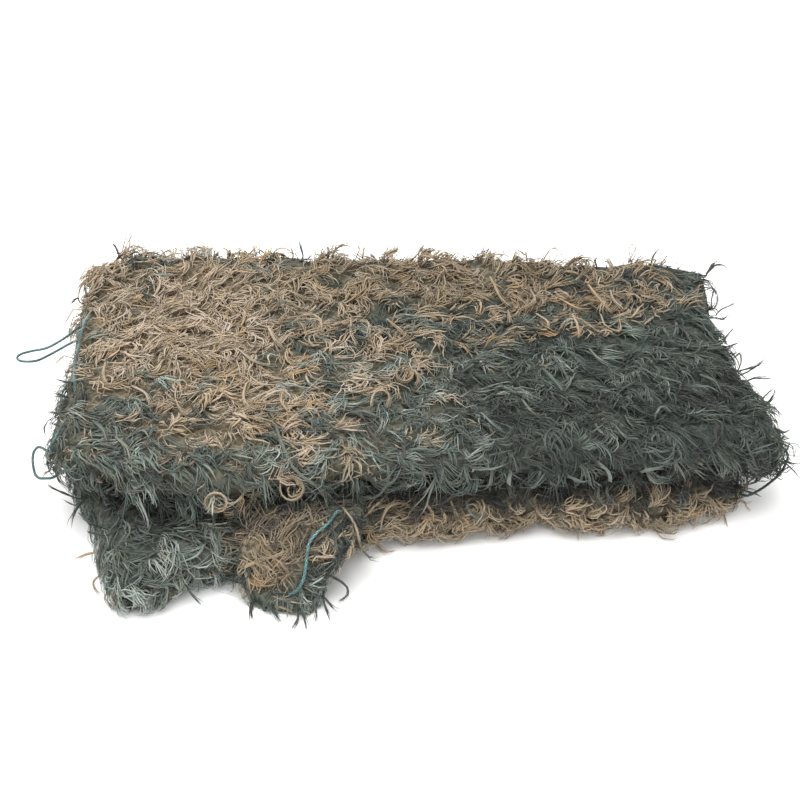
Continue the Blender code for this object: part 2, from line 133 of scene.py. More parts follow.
# The draw cord where it shows, along the same points as its solids, in metres. Each cord's own factor is painted light
# and shade: the right arc, which lies in shade, is painted much darker, and the corner cord paler.
cordSettings = {
    "diameter": 0.003, "step": 0.0012, "lineStep": 0.004, "sides": 14, "strandPairs": 4, "plaitLength": 0.0052,
    "relief": 0.00016, "cordLight": {"edge_cord_corner": 1.3, "edge_cord_right_arc": 0.25}, "usualCordLight": 0.8}
cordRoutes = {
    "edge_cord_run": [
        (-0.3694, 0.0595, 0.1084), (-0.3730, 0.0600, 0.1135), (-0.3750, 0.0450, 0.1150),
        (-0.3755, 0.0280, 0.1160), (-0.3740, 0.0080, 0.1165), (-0.3730, -0.0120, 0.1155),
        (-0.3710, -0.0360, 0.1160), (-0.3660, -0.0580, 0.1232), (-0.3600, -0.0800, 0.1280),
        (-0.3576, -0.0924, 0.1228)],
    "edge_cord_upper_loop": [
        (-0.3784, 0.0640, 0.0980), (-0.3840, 0.0640, 0.0985), (-0.3910, 0.0510, 0.1000),
        (-0.3980, 0.0400, 0.0995), (-0.4070, 0.0310, 0.0975), (-0.4200, 0.0240, 0.0940),
        (-0.4370, 0.0230, 0.0905), (-0.4490, 0.0210, 0.0880), (-0.4530, 0.0155, 0.0870),
        (-0.4490, 0.0100, 0.0865), (-0.4400, 0.0075, 0.0870), (-0.4280, 0.0075, 0.0885),
        (-0.4160, 0.0120, 0.0920), (-0.4040, 0.0180, 0.0960), (-0.3940, 0.0260, 0.0980),
        (-0.3850, 0.0330, 0.0985), (-0.3786, 0.0330, 0.0985)],
    "edge_cord_lower_run": [
        (-0.3588, -0.1342, 0.1202), (-0.3605, -0.1490, 0.1225), (-0.3660, -0.1610, 0.1165),
        (-0.3700, -0.1670, 0.1095), (-0.3689, -0.1676, 0.1029)],
    "edge_cord_lower_loop": [
        (-0.3760, -0.1557, 0.0946), (-0.3820, -0.1530, 0.0940), (-0.3870, -0.1470, 0.0915),
        (-0.3930, -0.1435, 0.0890), (-0.3965, -0.1470, 0.0860), (-0.3965, -0.1540, 0.0843),
        (-0.3950, -0.1610, 0.0830), (-0.3925, -0.1690, 0.0812), (-0.3895, -0.1755, 0.0790),
        (-0.3850, -0.1785, 0.0773), (-0.3790, -0.1785, 0.0770), (-0.3720, -0.1785, 0.0778),
        (-0.3655, -0.1745, 0.0792)],
    "edge_cord_corner": [
        (-0.0703, -0.2218, 0.0710), (-0.0740, -0.2245, 0.0734), (-0.0820, -0.2390, 0.0720),
        (-0.0930, -0.2490, 0.0685), (-0.1005, -0.2585, 0.0634), (-0.1025, -0.2665, 0.0558),
        (-0.1040, -0.2745, 0.0458), (-0.1065, -0.2805, 0.0348), (-0.1120, -0.2865, 0.0264),
        (-0.1209, -0.2890, 0.0209)],
    "edge_cord_right_arc": [
        (0.3922, -0.1376, 0.0814), (0.3985, -0.1400, 0.0825), (0.4010, -0.1460, 0.0780),
        (0.3995, -0.1485, 0.0680), (0.3965, -0.1490, 0.0570), (0.3890, -0.1510, 0.0475),
        (0.3780, -0.1550, 0.0395), (0.3660, -0.1580, 0.0335), (0.3605, -0.1560, 0.0310),
        (0.3527, -0.1443, 0.0268)],
}


def smoothRoute(points, step):
    # even steps on a Catmull-Rom curve through the points
    knots = np.array(points, float)
    knots = np.vstack([2 * knots[0] - knots[1], knots, 2 * knots[-1] - knots[-2]])
    t = np.linspace(0, 1, 24, endpoint=False)[:, None]
    fine = []
    for k in range(1, len(knots) - 2):
        leave, arrive = (knots[k + 1] - knots[k - 1]) / 2, (knots[k + 2] - knots[k]) / 2
        fine.append(knots[k] * (2 * t**3 - 3 * t**2 + 1) + knots[k + 1] * (3 * t**2 - 2 * t**3)
                    + leave * (t**3 - 2 * t**2 + t) + arrive * (t**3 - t**2))
    fine = np.vstack(fine + [knots[-2][None]])
    far = np.concatenate([[0], np.cumsum(np.linalg.norm(np.diff(fine, axis=0), axis=1))])
    wanted = np.linspace(0, far[-1], max(int(round(far[-1] / step)), 2) + 1)
    return np.stack([np.interp(wanted, far, fine[:, i]) for i in range(3)], 1), far[-1]


def unit(vectors):
    return vectors / np.maximum(np.linalg.norm(vectors, axis=-1, keepdims=True), 1e-12)


def outwardFaces(vertices, faces):
    # turns every face round if the closed shape they make is inside out
    total = 0.0
    for f in faces:
        first = vertices[f[:, 0]]
        for k in range(1, f.shape[1] - 1):
            total += np.einsum("ij,ij->i", first, np.cross(vertices[f[:, k]], vertices[f[:, k + 1]])).sum()
    return faces if total > 0 else [f[:, ::-1] for f in faces]


def meshObject(name, vertices, faces, material, attributes):
    # faces is a list of arrays, each of faces with one number of sides
    mesh = bpy.data.meshes.new(name)
    corners = np.concatenate([f.ravel() for f in faces]).astype(np.int32)
    starts, at = [], 0
    for f in faces:
        starts.append(at + np.arange(len(f)) * f.shape[1])
        at += f.size
    mesh.vertices.add(len(vertices))
    mesh.vertices.foreach_set("co", vertices.astype(np.float32).ravel())
    mesh.loops.add(len(corners))
    mesh.loops.foreach_set("vertex_index", corners)
    starts = np.concatenate(starts).astype(np.int32)
    mesh.polygons.add(len(starts))
    mesh.polygons.foreach_set("loop_start", starts)
    mesh.update(calc_edges=True)
    mesh.validate()
    mesh.polygons.foreach_set("use_smooth", np.full(len(mesh.polygons), True))
    for key, values in attributes.items():
        layer = mesh.attributes.new(key, "FLOAT", "POINT")
        layer.data.foreach_set("value", values.astype(np.float32).ravel())
    mesh.materials.append(material)
    made = bpy.data.objects.new(name, mesh)
    scene.collection.objects.link(made)
    return made


def braidedCordMaterial():
    # Braided polyester cord: matt yarn with a painted glint where each strand of the plait turns over and painted shade
    # between the strands, soiled in patches, and each cord painted lighter or darker for the light it lies in.
    made, tree, shader = newMaterial("braidedPolyesterCord")
    place = objectPlace(tree)
    fibre = noiseOf(tree, place, 2600.0, 2.0)
    shade = mathOf(tree, "MULTIPLY_ADD", fibre, 0.5, attributeOf(tree, "plait"))
    # painted highlight on the crests of the plait and painted shade between its strands, through the top and bottom of
    # this ramp
    yarn = rampOf(tree, shade, [(0.25, "#14292A"), (0.6, "#2D5557"), (0.9, "#598A8B"), (1.0, "#A9CFCC")])
    dirt = rangeOf(tree, noiseOf(tree, place, 70.0, 1.0), 0.35, 0.65, 0.45, 1.1)
    # painted light and shade: each cord's factor darkens the right arc lying in shade and brightens the corner cord;
    # the noise is soiling in patches
    kept = mathOf(tree, "MULTIPLY", attributeOf(tree, "cordLight"), dirt)
    setInputs(tree, shader, {"Base Color": mixOf(tree, 1.0, yarn, kept, "MULTIPLY"), "Roughness": 0.55,
                             "Sheen Weight": 0.3})
    return made


def buildCord(name, route, settings, material):
    path, length = smoothRoute(route, settings["step"])
    path = path - drawingCentre
    tangent = unit(np.gradient(path, axis=0))
    side = unit(np.cross(tangent, [0.13, 0.21, 0.97]))
    up = np.cross(side, tangent)
    sides, count = settings["sides"], len(path)
    angle = np.linspace(0, 2 * math.pi, sides, endpoint=False)[None, :]
    along = np.linspace(0, length, count)[:, None] / settings["plaitLength"] * 2 * math.pi
    one = np.cos(settings["strandPairs"] * angle + along)
    other = np.cos(settings["strandPairs"] * angle - along)
    plait = np.maximum(one, other)
    radius = settings["diameter"] / 2 - settings["relief"] * (1 - plait)
    ring = (path[:, None] + radius[..., None] * (np.cos(angle)[..., None] * side[:, None]
                                                 + np.sin(angle)[..., None] * up[:, None]))
    vertices = np.vstack([ring.reshape(-1, 3), path[:1], path[-1:]])
    i, j = np.meshgrid(np.arange(count - 1), np.arange(sides), indexing="ij")
    k = (j + 1) % sides
    quads = np.stack([i * sides + j, i * sides + k, (i + 1) * sides + k, (i + 1) * sides + j], -1).reshape(-1, 4)
    j, k = j[0], k[0]
    first, last = count * sides, count * sides + 1
    caps = np.vstack([np.stack([np.full(sides, first), k, j], 1),
                      np.stack([np.full(sides, last), (count - 1) * sides + j, (count - 1) * sides + k], 1)])
    # painted highlight on the strands of the plait and painted shade between them
    plaitHighlight = np.concatenate([(plait * 0.5 + 0.2).ravel(), [0.3, 0.3]])  # higher on the strands than between them
    # painted light and shade, one factor for each cord
    cordLight = np.full(len(vertices), settings["cordLight"].get(name, settings["usualCordLight"]))
    cord = meshObject(name.replace("edge_", "draw_"), vertices, outwardFaces(vertices, [quads, caps]), material,
                      {"plait": plaitHighlight, "cordLight": cordLight})
    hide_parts(name)
    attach(cord, "root")
    return cord


cordMaterial = braidedCordMaterial()
cords = [buildCord(name, route, cordSettings, cordMaterial) for name, route in cordRoutes.items()]
cordLines = [smoothRoute(route, cordSettings["lineStep"])[0] - drawingCentre for route in cordRoutes.values()]
print("cords:", len(cords))

# the folded net
padSettings = {
    "sections": [  # x, upper front, lower front, back, height
        (-0.378, -0.158, -0.186, 0.166, 0.111), (-0.352, -0.190, -0.240, 0.178, 0.121),
        (-0.300, -0.212, -0.284, 0.183, 0.124), (-0.245, -0.225, -0.296, 0.183, 0.126),
        (-0.195, -0.227, -0.270, 0.182, 0.126), (-0.155, -0.220, -0.226, 0.180, 0.125),
        (-0.105, -0.208, -0.206, 0.178, 0.124), (-0.010, -0.195, -0.201, 0.175, 0.122),
        (0.100, -0.190, -0.196, 0.170, 0.121), (0.210, -0.180, -0.182, 0.163, 0.119),
        (0.315, -0.164, -0.160, 0.158, 0.115), (0.362, -0.146, -0.136, 0.150, 0.103)],
    "shifts": [  # how far along X, and the spans of x, y and z over which it grows
        (0.034, (0.10, 0.35), (0.04, -0.17), (0.045, 0.075)),
        (0.022, (-0.26, -0.35), (-0.13, -0.20), (0.070, 0.050))],
    "hills": [(0.150, 0.190, 0.4), (0.083, 0.117, 2.1), (0.061, 0.089, 4.4)],
    "hillHeight": 0.014, "hillShares": (0.0, 0.08, 0.10, 0.14, 1.0),
    "backDrop": (0.07, -0.06, 0.20), "lumpDroop": (0.22, -0.20, -0.29),
    "layerGap": 0.004, "creviceGap": 0.005,
    "frontDepth": 0.034, "backDepth": 0.030, "edgeDepth": 0.012,
    "wave": (0.004, 0.083), "endRounding": 0.018, "endThickness": 0.42,
    "columns": 120,
    "runs": {"top": 26, "upperFront": 12, "second": 16, "backFold": 10, "third": 16, "lowerFront": 12, "bottom": 16},
}


def curveValue(keys, values, key):
    # cubic curve through the values, held beyond its ends
    keys, values = np.asarray(keys, float), np.asarray(values, float)
    key = np.clip(np.asarray(key, float), keys[0], keys[-1])
    slopes = np.gradient(values, keys)
    slopes[1:-1] = (values[2:] - values[:-2]) / (keys[2:] - keys[:-2])
    k = np.clip(np.searchsorted(keys, key, side="right") - 1, 0, len(keys) - 2)
    span = keys[k + 1] - keys[k]
    t = (key - keys[k]) / span
    return (values[k] * (2 * t**3 - 3 * t**2 + 1) + values[k + 1] * (3 * t**2 - 2 * t**3)
            + span * slopes[k] * (t**3 - 2 * t**2 + t) + span * slopes[k + 1] * (t**3 - t**2))


def smoothStep(start, end, value):
    t = np.clip((np.asarray(value, float) - start) / (end - start), 0, 1)
    return t * t * (3 - 2 * t)


def hillAt(x, y):
    waves = [np.sin(2 * math.pi * x / a + phase) * np.sin(2 * math.pi * y / b + 2 * phase)
             for a, b, phase in padSettings["hills"]]
    return sum(waves) / len(waves)


def sectionAt(x):
    rows = np.array(padSettings["sections"])
    return [float(curveValue(rows[:, 0], rows[:, i], x)) for i in (1, 2, 3, 4)]


def levelHeight(level, x, y, height):
    s = padSettings
    drop, start, end = s["backDrop"]
    high = height * (1 - drop * smoothStep(start, end, y))
    if level <= 2:
        droop, start, end = s["lumpDroop"]
        high = high * (1 - droop * smoothStep(start, end, y))
    return level / 4 * high + s["hillHeight"] * s["hillShares"][level] * hillAt(x, y)


def patchSum(table, places, start=0.0):
    # the sum of soft bumps: x, y, z of each one's middle, its half sizes, and its height
    total = np.full(len(places), start)
    for x, y, z, a, b, c, weight in table:
        total += weight * np.exp(-(((places - [x, y, z]) / [a, b, c]) ** 2).sum(1))
    return total


# How far the cloth has settled away from the plain folds, along x (0), y (1) and z (2): each bump's middle, its half
# sizes and its height, in metres.
settleShifts = {
    0: [(-0.35, -0.155, 0.06, 0.05, 0.05, 0.05, 0.018), (-0.352, -0.15, 0.075, 0.04, 0.04, 0.035, 0.014),
        (-0.39, -0.045, 0.09, 0.04, 0.05, 0.05, 0.004), (-0.37, -0.11, 0.02, 0.04, 0.05, 0.03, 0.014),
        (-0.368, -0.115, 0.085, 0.035, 0.03, 0.022, -0.016), (-0.40, 0.15, 0.11, 0.05, 0.08, 0.06, -0.018),
        (-0.07, -0.245, 0.01, 0.03, 0.03, 0.03, -0.012), (0.40, -0.06, 0.08, 0.04, 0.06, 0.05, 0.004),
        (-0.045, -0.21, 0.03, 0.036, 0.06, 0.05, -0.018), (-0.065, -0.225, 0.015, 0.03, 0.04, 0.04, -0.012)],
    1: [(-0.285, -0.245, 0.01, 0.05, 0.05, 0.04, -0.018), (-0.23, -0.235, 0.01, 0.03, 0.05, 0.04, 0.023),
        (-0.195, -0.21, 0.01, 0.02, 0.05, 0.04, -0.006), (-0.14, -0.235, 0.01, 0.02, 0.03, 0.03, 0.008),
        (-0.07, -0.245, 0.01, 0.025, 0.03, 0.03, 0.012), (-0.045, -0.18, 0.01, 0.035, 0.05, 0.04, -0.034),
        (0.065, -0.15, 0.01, 0.03, 0.05, 0.04, -0.007), (0.11, -0.14, 0.01, 0.04, 0.05, 0.04, 0.008),
        (0.245, -0.13, 0.01, 0.07, 0.05, 0.04, -0.010), (0.315, -0.12, 0.01, 0.06, 0.05, 0.04, -0.011),
        (0.38, -0.11, 0.035, 0.035, 0.05, 0.03, 0.005), (0.385, -0.10, 0.06, 0.04, 0.05, 0.03, -0.020),
        (0.0, 0.23, 0.11, 0.50, 0.05, 0.06, 0.006), (0.35, 0.22, 0.11, 0.07, 0.06, 0.06, 0.012)],
    2: [(-0.36, -0.04, 0.12, 0.03, 0.03, 0.04, 0.003), (0.0, 0.235, 0.11, 0.55, 0.05, 0.05, 0.007),
        (0.15, 0.235, 0.11, 0.14, 0.05, 0.05, 0.008), (-0.37, 0.23, 0.11, 0.05, 0.05, 0.05, 0.006),
        (0.35, 0.21, 0.11, 0.08, 0.07, 0.06, 0.014)],
}


def settled(rings):
    places = rings.reshape(-1, 3).copy()
    moved = places.copy()
    for axis, table in settleShifts.items():
        moved[:, axis] += patchSum(table, places)
    moved[:, 2] = np.maximum(moved[:, 2], np.minimum(places[:, 2], cornerSettings["floor"]))
    return moved.reshape(rings.shape)


def netStations(x):
    # the middle, side a and side b of the folded net's section at x, from one free edge to the other, in Y and Z
    s, runs = padSettings, padSettings["runs"]
    upperFront, lowerFront, back, height = sectionAt(x)
    wave = s["wave"][0] * math.sin(2 * math.pi * x / s["wave"][1])
    upperFold, lowerFold = upperFront + wave + s["frontDepth"], lowerFront - wave + s["frontDepth"]
    edge, backFold = back - s["edgeDepth"], back - s["backDepth"]
    gap = {0: 0.0, 2: s["creviceGap"] / 2, 4: 0.0}

    def layer(upper, lower, start, end, count, firstIsTop):
        y = np.linspace(start, end, count)
        top = np.stack([y, levelHeight(upper, x, y, height) - gap.get(upper, s["layerGap"] / 2)], 1)
        low = np.stack([y, levelHeight(lower, x, y, height) + gap.get(lower, s["layerGap"] / 2)], 1)
        return [(top + low) / 2, *((top, low) if firstIsTop else (low, top))]

    def fold(upper, lower, y, depth, count, towards, firstIsOuter):
        between = (upper + lower) // 2
        half = gap.get(between, s["layerGap"] / 2)
        top, z, low = [float(levelHeight(level, x, np.array(y), height)) for level in (upper, between, lower)]
        above = top - gap.get(upper, s["layerGap"] / 2) - z
        below = z - low - gap.get(lower, s["layerGap"] / 2)
        angle = math.pi / 2 - math.pi * np.arange(1, count + 1) / (count + 1)
        c, d = towards * np.cos(angle), np.sin(angle)
        outer = np.stack([y + c * depth, z + d * np.where(d > 0, above, below)], 1)
        inner = np.stack([y + c * half, z + d * half], 1)
        return [(outer + inner) / 2, *((outer, inner) if firstIsOuter else (inner, outer))]

    parts = [
        layer(4, 3, edge, upperFold, runs["top"], True),
        fold(4, 2, upperFold, s["frontDepth"], runs["upperFront"], -1, True),
        layer(3, 2, upperFold, backFold, runs["second"], False),
        fold(3, 1, backFold, s["backDepth"], runs["backFold"], 1, False),
        layer(2, 1, backFold, lowerFold, runs["third"], True),
        fold(2, 0, lowerFold, s["frontDepth"], runs["lowerFront"], -1, True),
        layer(1, 0, lowerFold, edge, runs["bottom"], False)]
    middle, a, b = [np.vstack([p[i] for p in parts]) for i in range(3)]
    past = np.array([s["edgeDepth"], 0])  # the free edges are half as thick, a little past the first and last place
    return [np.vstack([(middle[:1] + line[:1]) / 2 + past, line, (middle[-1:] + line[-1:]) / 2 + past])
            for line in (middle, a, b)]


def columnPlaces():
    start, end, far = padSettings["sections"][0][0], padSettings["sections"][-1][0], padSettings["endRounding"]
    rounded = far * np.array([0, 0.05, 0.15, 0.35, 0.65])
    return np.concatenate([start + rounded, np.linspace(start + far, end - far, padSettings["columns"]),
                           end - rounded[::-1]])


def padRings(share):
    # closed outlines of the pad's sections, at a share of the layers' thickness, in the part's own place
    s = padSettings
    xs = columnPlaces()
    rings = []
    for x in xs:
        inside = min(x - xs[0], xs[-1] - x)
        thickness = 1.0
        if inside < s["endRounding"]:
            past = 1 - inside / s["endRounding"]
            thickness = s["endThickness"] + (1 - s["endThickness"]) * math.sqrt(max(1 - past * past, 0))
        middle, a, b = netStations(x)
        outline = np.vstack([middle + (a - middle) * thickness * share,
                             (middle + (b - middle) * thickness * share)[::-1]])
        y, z = outline[:, 0], outline[:, 1]
        shifted = np.full(len(y), x)
        for far, xSpan, ySpan, zSpan in s["shifts"]:
            shifted += far * smoothStep(*xSpan, x) * smoothStep(*ySpan, y) * smoothStep(*zSpan, z)
        rings.append(np.stack([shifted, y, z], 1))
    return settled(np.array(rings) - drawingCentre)


cornerSettings = {
    "path": [  # x, y, z, half width, half thickness of the loose corner
        (-0.100, -0.150, 0.0585, 0.044, 0.0030), (-0.101, -0.190, 0.0600, 0.049, 0.0045),
        (-0.103, -0.218, 0.0630, 0.054, 0.0085), (-0.106, -0.244, 0.0580, 0.056, 0.0100),
        (-0.109, -0.262, 0.0420, 0.055, 0.0100), (-0.111, -0.272, 0.0240, 0.052, 0.0095),
        (-0.112, -0.284, 0.0110, 0.046, 0.0085), (-0.112, -0.300, 0.0072, 0.034, 0.0065)],
    "rings": 44, "sides": 28, "crumple": (0.16, 3, 1.1), "floor": 0.0004, "ahead": 0.05,
}


def cornerRings(share):
    s = cornerSettings
    rows = np.array(s["path"])
    keys = np.arange(len(rows))
    rings = []
    across = np.array([1.0, 0, 0])

    def rowAt(t, count):
        return np.array([float(curveValue(keys, rows[:, i], t)) for i in range(count)])

    for t in np.linspace(0, len(rows) - 1, s["rings"]):
        at = rowAt(t, 5)
        ahead = unit(rowAt(t + s["ahead"], 3) - rowAt(t - s["ahead"], 3))
        outward = unit(np.cross(across, ahead))
        angle = 2 * math.pi * (np.arange(s["sides"]) + 0.5) / s["sides"]
        amount, turns, twist = s["crumple"]
        crumple = 1 + amount * np.sin(turns * angle + t * twist)
        wide = across * (at[3] * np.cos(angle))[:, None] + outward * (at[4] * share * np.sin(angle))[:, None]
        ring = at[:3] + wide * crumple[:, None]
        ring[:, 2] = np.maximum(ring[:, 2], s["floor"])
        rings.append(ring)
    return settled(np.array(rings) - drawingCentre)


def loftFaces(rings, size, capped):
    i, j = np.meshgrid(np.arange(rings - 1), np.arange(size), indexing="ij")
    k = (j + 1) % size
    quads = np.stack([i * size + j, i * size + k, (i + 1) * size + k, (i + 1) * size + j], -1).reshape(-1, 4)
    faces = [quads]
    for end in capped:  # bridges the outline's two sides at that end
        j = np.arange(size // 2 - 1)
        base = end * size
        cap = np.stack([base + j, base + size - 1 - j, base + size - 2 - j, base + j + 1], 1)
        faces.append(cap if end == 0 else cap[:, ::-1])
    return faces


def surfaceTree(vertices, faces):
    return BVHTree.FromPolygons([tuple(v) for v in vertices],
                                [tuple(int(i) for i in f) for group in faces for f in group])


outerRings, outerCorner = padRings(1.0), cornerRings(1.0)
padColumns, padSize = outerRings.shape[:2]
cornerColumns, cornerSize = outerCorner.shape[:2]
padFaces = loftFaces(padColumns, padSize, (0, padColumns - 1))
cornerFaces = [f + padColumns * padSize for f in loftFaces(cornerColumns, cornerSize, (0, cornerColumns - 1))]
outerVertices = np.vstack([outerRings.reshape(-1, 3), outerCorner.reshape(-1, 3)])
outerFaces = outwardFaces(outerVertices, padFaces) + outwardFaces(outerVertices, cornerFaces)
outerTree = surfaceTree(outerVertices, outerFaces)
print("pad surface:", len(outerVertices), "points", outerVertices.min(0).round(4), outerVertices.max(0).round(4))

# Patches of colour: x, y, z of a patch's middle, its half sizes, and how tan (above 0) or green (below 0) it is.
colourPatches = [
    (-0.27, 0.10, 0.12, 0.13, 0.17, 0.10, 1.0),    # tan field at the left
    (0.05, 0.17, 0.12, 0.27, 0.09, 0.08, 1.1),     # tan band along the back
    (-0.09, -0.02, 0.12, 0.12, 0.10, 0.06, 0.7),   # mottled middle
    (-0.18, -0.12, 0.11, 0.10, 0.06, 0.05, -0.15),  # a little greener towards the front
    (-0.37, -0.11, 0.10, 0.10, 0.09, 0.08, -2.0),  # green corner at the left front
    (0.20, -0.08, 0.11, 0.25, 0.12, 0.06, -1.9),   # green field at the right front
    (0.42, 0.08, 0.10, 0.11, 0.22, 0.10, -2.2),    # green right end
    (-0.10, 0.03, 0.12, 0.022, 0.07, 0.05, -0.8),  # green streaks in the tan
    (-0.19, 0.08, 0.12, 0.035, 0.030, 0.05, -0.8),
    (-0.03, 0.13, 0.12, 0.035, 0.040, 0.05, -0.7),
    (0.14, 0.13, 0.12, 0.030, 0.030, 0.05, -0.7),
    (0.19, -0.14, 0.024, 0.26, 0.06, 0.031, 3.0),  # tan front of the lower pack
    (-0.29, -0.19, 0.04, 0.12, 0.09, 0.05, -2.6),  # green lump
    (-0.14, -0.19, 0.05, 0.040, 0.035, 0.04, 2.4),  # tan side of the loose corner
    (-0.08, -0.23, 0.02, 0.06, 0.04, 0.03, -2.6),  # green tip of the loose corner
]
usualTan, tanSlope = -0.15, 0.62  # of cloth in no patch, and how sharply patches part
# where the short matted pile under the strips is brown, from 0 to 1; elsewhere it is green
brownPatches = [
    (-0.28, 0.10, 0.12, 0.13, 0.17, 0.12, 1.0), (0.03, 0.20, 0.12, 0.22, 0.07, 0.08, 0.55),
    (-0.14, -0.07, 0.11, 0.16, 0.11, 0.06, 0.65), (0.19, -0.14, 0.02, 0.26, 0.06, 0.030, 0.9),
    (-0.14, -0.19, 0.05, 0.040, 0.035, 0.04, 0.9)]


def tanShare(places, mottle):
    return np.clip(0.5 + tanSlope * patchSum(colourPatches, places, usualTan) + mottle, 0, 1)


# the net: one doubled sheet on the folds, inside the shag
sheetSettings = {"share": 0.42, "thickness": 0.0018, "flat": (1.5, 1.55), "columnStep": 3, "pointStep": 2,
                 "cornerStep": 2, "meshPitch": 0.011}


def netSheetMaterial():
    # Knotted polyester netting under the fringe: matt dark yarn, seen as diamonds where the shag parts. Its darkness is
    # partly the net's own colour and partly painted shade of the pile deep between the strips; the openings are painted
    # darker still as shade.
    made, tree, shader = newMaterial("knottedPolyesterNet")
    place = objectPlace(tree)
    diamonds = addNode(tree, "Mapping", None, {"Vector": place, "Rotation": (0.5, 0.3, math.radians(45))})
    cells = addNode(tree, "TexVoronoi", {"feature": "DISTANCE_TO_EDGE"},
                    {"Vector": diamonds.outputs["Vector"], "Scale": 1 / sheetSettings["meshPitch"], "Randomness": 0.35})
    # painted shade: the openings between the yarn are darker than the yarn
    yarn = rangeOf(tree, cells.outputs["Distance"], 0.05, 0.16, 1.0, 0.0)
    shade = mathOf(tree, "MULTIPLY_ADD", yarn, 0.45, noiseOf(tree, place, 320.0, 6.0, 0.7))
    # dark green under green strips and brown under tan: partly the cloth's own colour, partly painted shade of the deep
    # pile
    green = rampOf(tree, shade, [(0.0, "#171C18"), (0.45, "#2E3630"), (1.0, "#4A544D")])
    brown = rampOf(tree, shade, [(0.0, "#30281C"), (0.5, "#645741"), (1.0, "#8E7F67")])
    setInputs(tree, shader, {"Base Color": mixOf(tree, attributeOf(tree, "tan"), green, brown), "Roughness": 0.92,
                             "Normal": bumpOf(tree, shade, 0.6, 0.001)})
    return made


def buildNetSheet(settings, material):
    # the pad's layers and the loose corner's tongue, each closed at one end and open at the other
    rings = padRings(settings["share"])[::settings["columnStep"], ::settings["pointStep"]]
    corner = cornerRings(settings["share"])[::settings["cornerStep"], ::settings["cornerStep"]]
    faces = loftFaces(*rings.shape[:2], (0,))
    tongue = [f + rings.shape[0] * rings.shape[1] for f in loftFaces(*corner.shape[:2], (corner.shape[0] - 1,))]
    vertices = np.vstack([rings.reshape(-1, 3), corner.reshape(-1, 3)])
    sheet = meshObject("folded_net", vertices, outwardFaces(vertices, faces + tongue), material,
                       {"tan": np.clip(patchSum(brownPatches, vertices), 0, 1)})
    wall = sheet.modifiers.new("yarn", "SOLIDIFY")
    wall.thickness = settings["thickness"]
    wall.offset = -1
    bpy.context.view_layer.objects.active = sheet
    bpy.ops.object.modifier_apply(modifier=wall.name)
    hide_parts("net")
    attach(sheet, "root")
    return sheet


netSheet = buildNetSheet(sheetSettings, netSheetMaterial())
print("net sheet:", len(netSheet.data.polygons), "faces")

# tufts of fringe
tuftSettings = {
    "seed": 5, "candidates": 50000, "spacing": 0.0170, "reach": 0.020, "off": 0.0012,
    "corner": (-0.11, 0.06, -0.17), "cornerShare": 0.62,  # x, half width and the y where the loose corner begins
    "underSlope": -0.6, "underHeight": 0.012, "underSpacing": 0.036,
    "rootDepth": 0.007, "depthShare": 0.35, "deepest": 0.05, "into": 0.001}


def sampleSurface(rng, count):
    quads = np.vstack([f for f in outerFaces if f.shape[1] == 4])
    p = outerVertices[quads]
    normals = np.cross(p[:, 2] - p[:, 0], p[:, 3] - p[:, 1]) / 2
    area = np.linalg.norm(normals, axis=1)
    picked = rng.choice(len(quads), count, p=area / area.sum())
    u, v = rng.random((2, count, 1))
    q = p[picked]
    return (q[:, 0] * (1 - u) + q[:, 1] * u) * (1 - v) + (q[:, 3] * (1 - u) + q[:, 2] * u) * v, unit(normals[picked])


def tuftPlaces(settings):
    # evenly scattered roots, wherever there is room for a tuft outside the surface
    rng = np.random.default_rng(settings["seed"])
    places, normals = sampleSurface(rng, settings["candidates"])
    cornerX, cornerHalf, cornerY = settings["corner"]
    onCorner = (np.abs(places[:, 0] - cornerX) < cornerHalf) & (places[:, 1] < cornerY)
    taken, kept, depths = {}, [], []
    for k, (place, normal) in enumerate(zip(places, normals)):
        under = normal[2] < settings["underSlope"] and place[2] < settings["underHeight"]
        spacing = settings["underSpacing"] if under else settings["spacing"]
        if onCorner[k] and not under:
            spacing *= settings["cornerShare"]
        cell = tuple(np.floor(place / spacing).astype(int))
        near = [o for dx in (-1, 0, 1) for dy in (-1, 0, 1) for dz in (-1, 0, 1)
                for o in taken.get((cell[0] + dx, cell[1] + dy, cell[2] + dz, under), [])]
        if any(((place - o) ** 2).sum() < spacing**2 for o in near):
            continue
        start = Vector(place + normal * settings["off"])
        if not under and outerTree.ray_cast(start, Vector(normal), settings["reach"])[0] is not None:
            continue
        inside = Vector(place - normal * settings["into"])
        through = outerTree.ray_cast(inside, Vector(-normal), settings["deepest"])[3]
        shallow = settings["depthShare"] * through if through else settings["rootDepth"]
        depths.append(min(settings["rootDepth"], shallow))
        taken.setdefault((*cell, under), []).append(place)
        kept.append(k)
    return places[kept], normals[kept], np.array(depths)


tuftRoots, tuftNormals, tuftDepths = tuftPlaces(tuftSettings)
print("tufts:", len(tuftRoots))

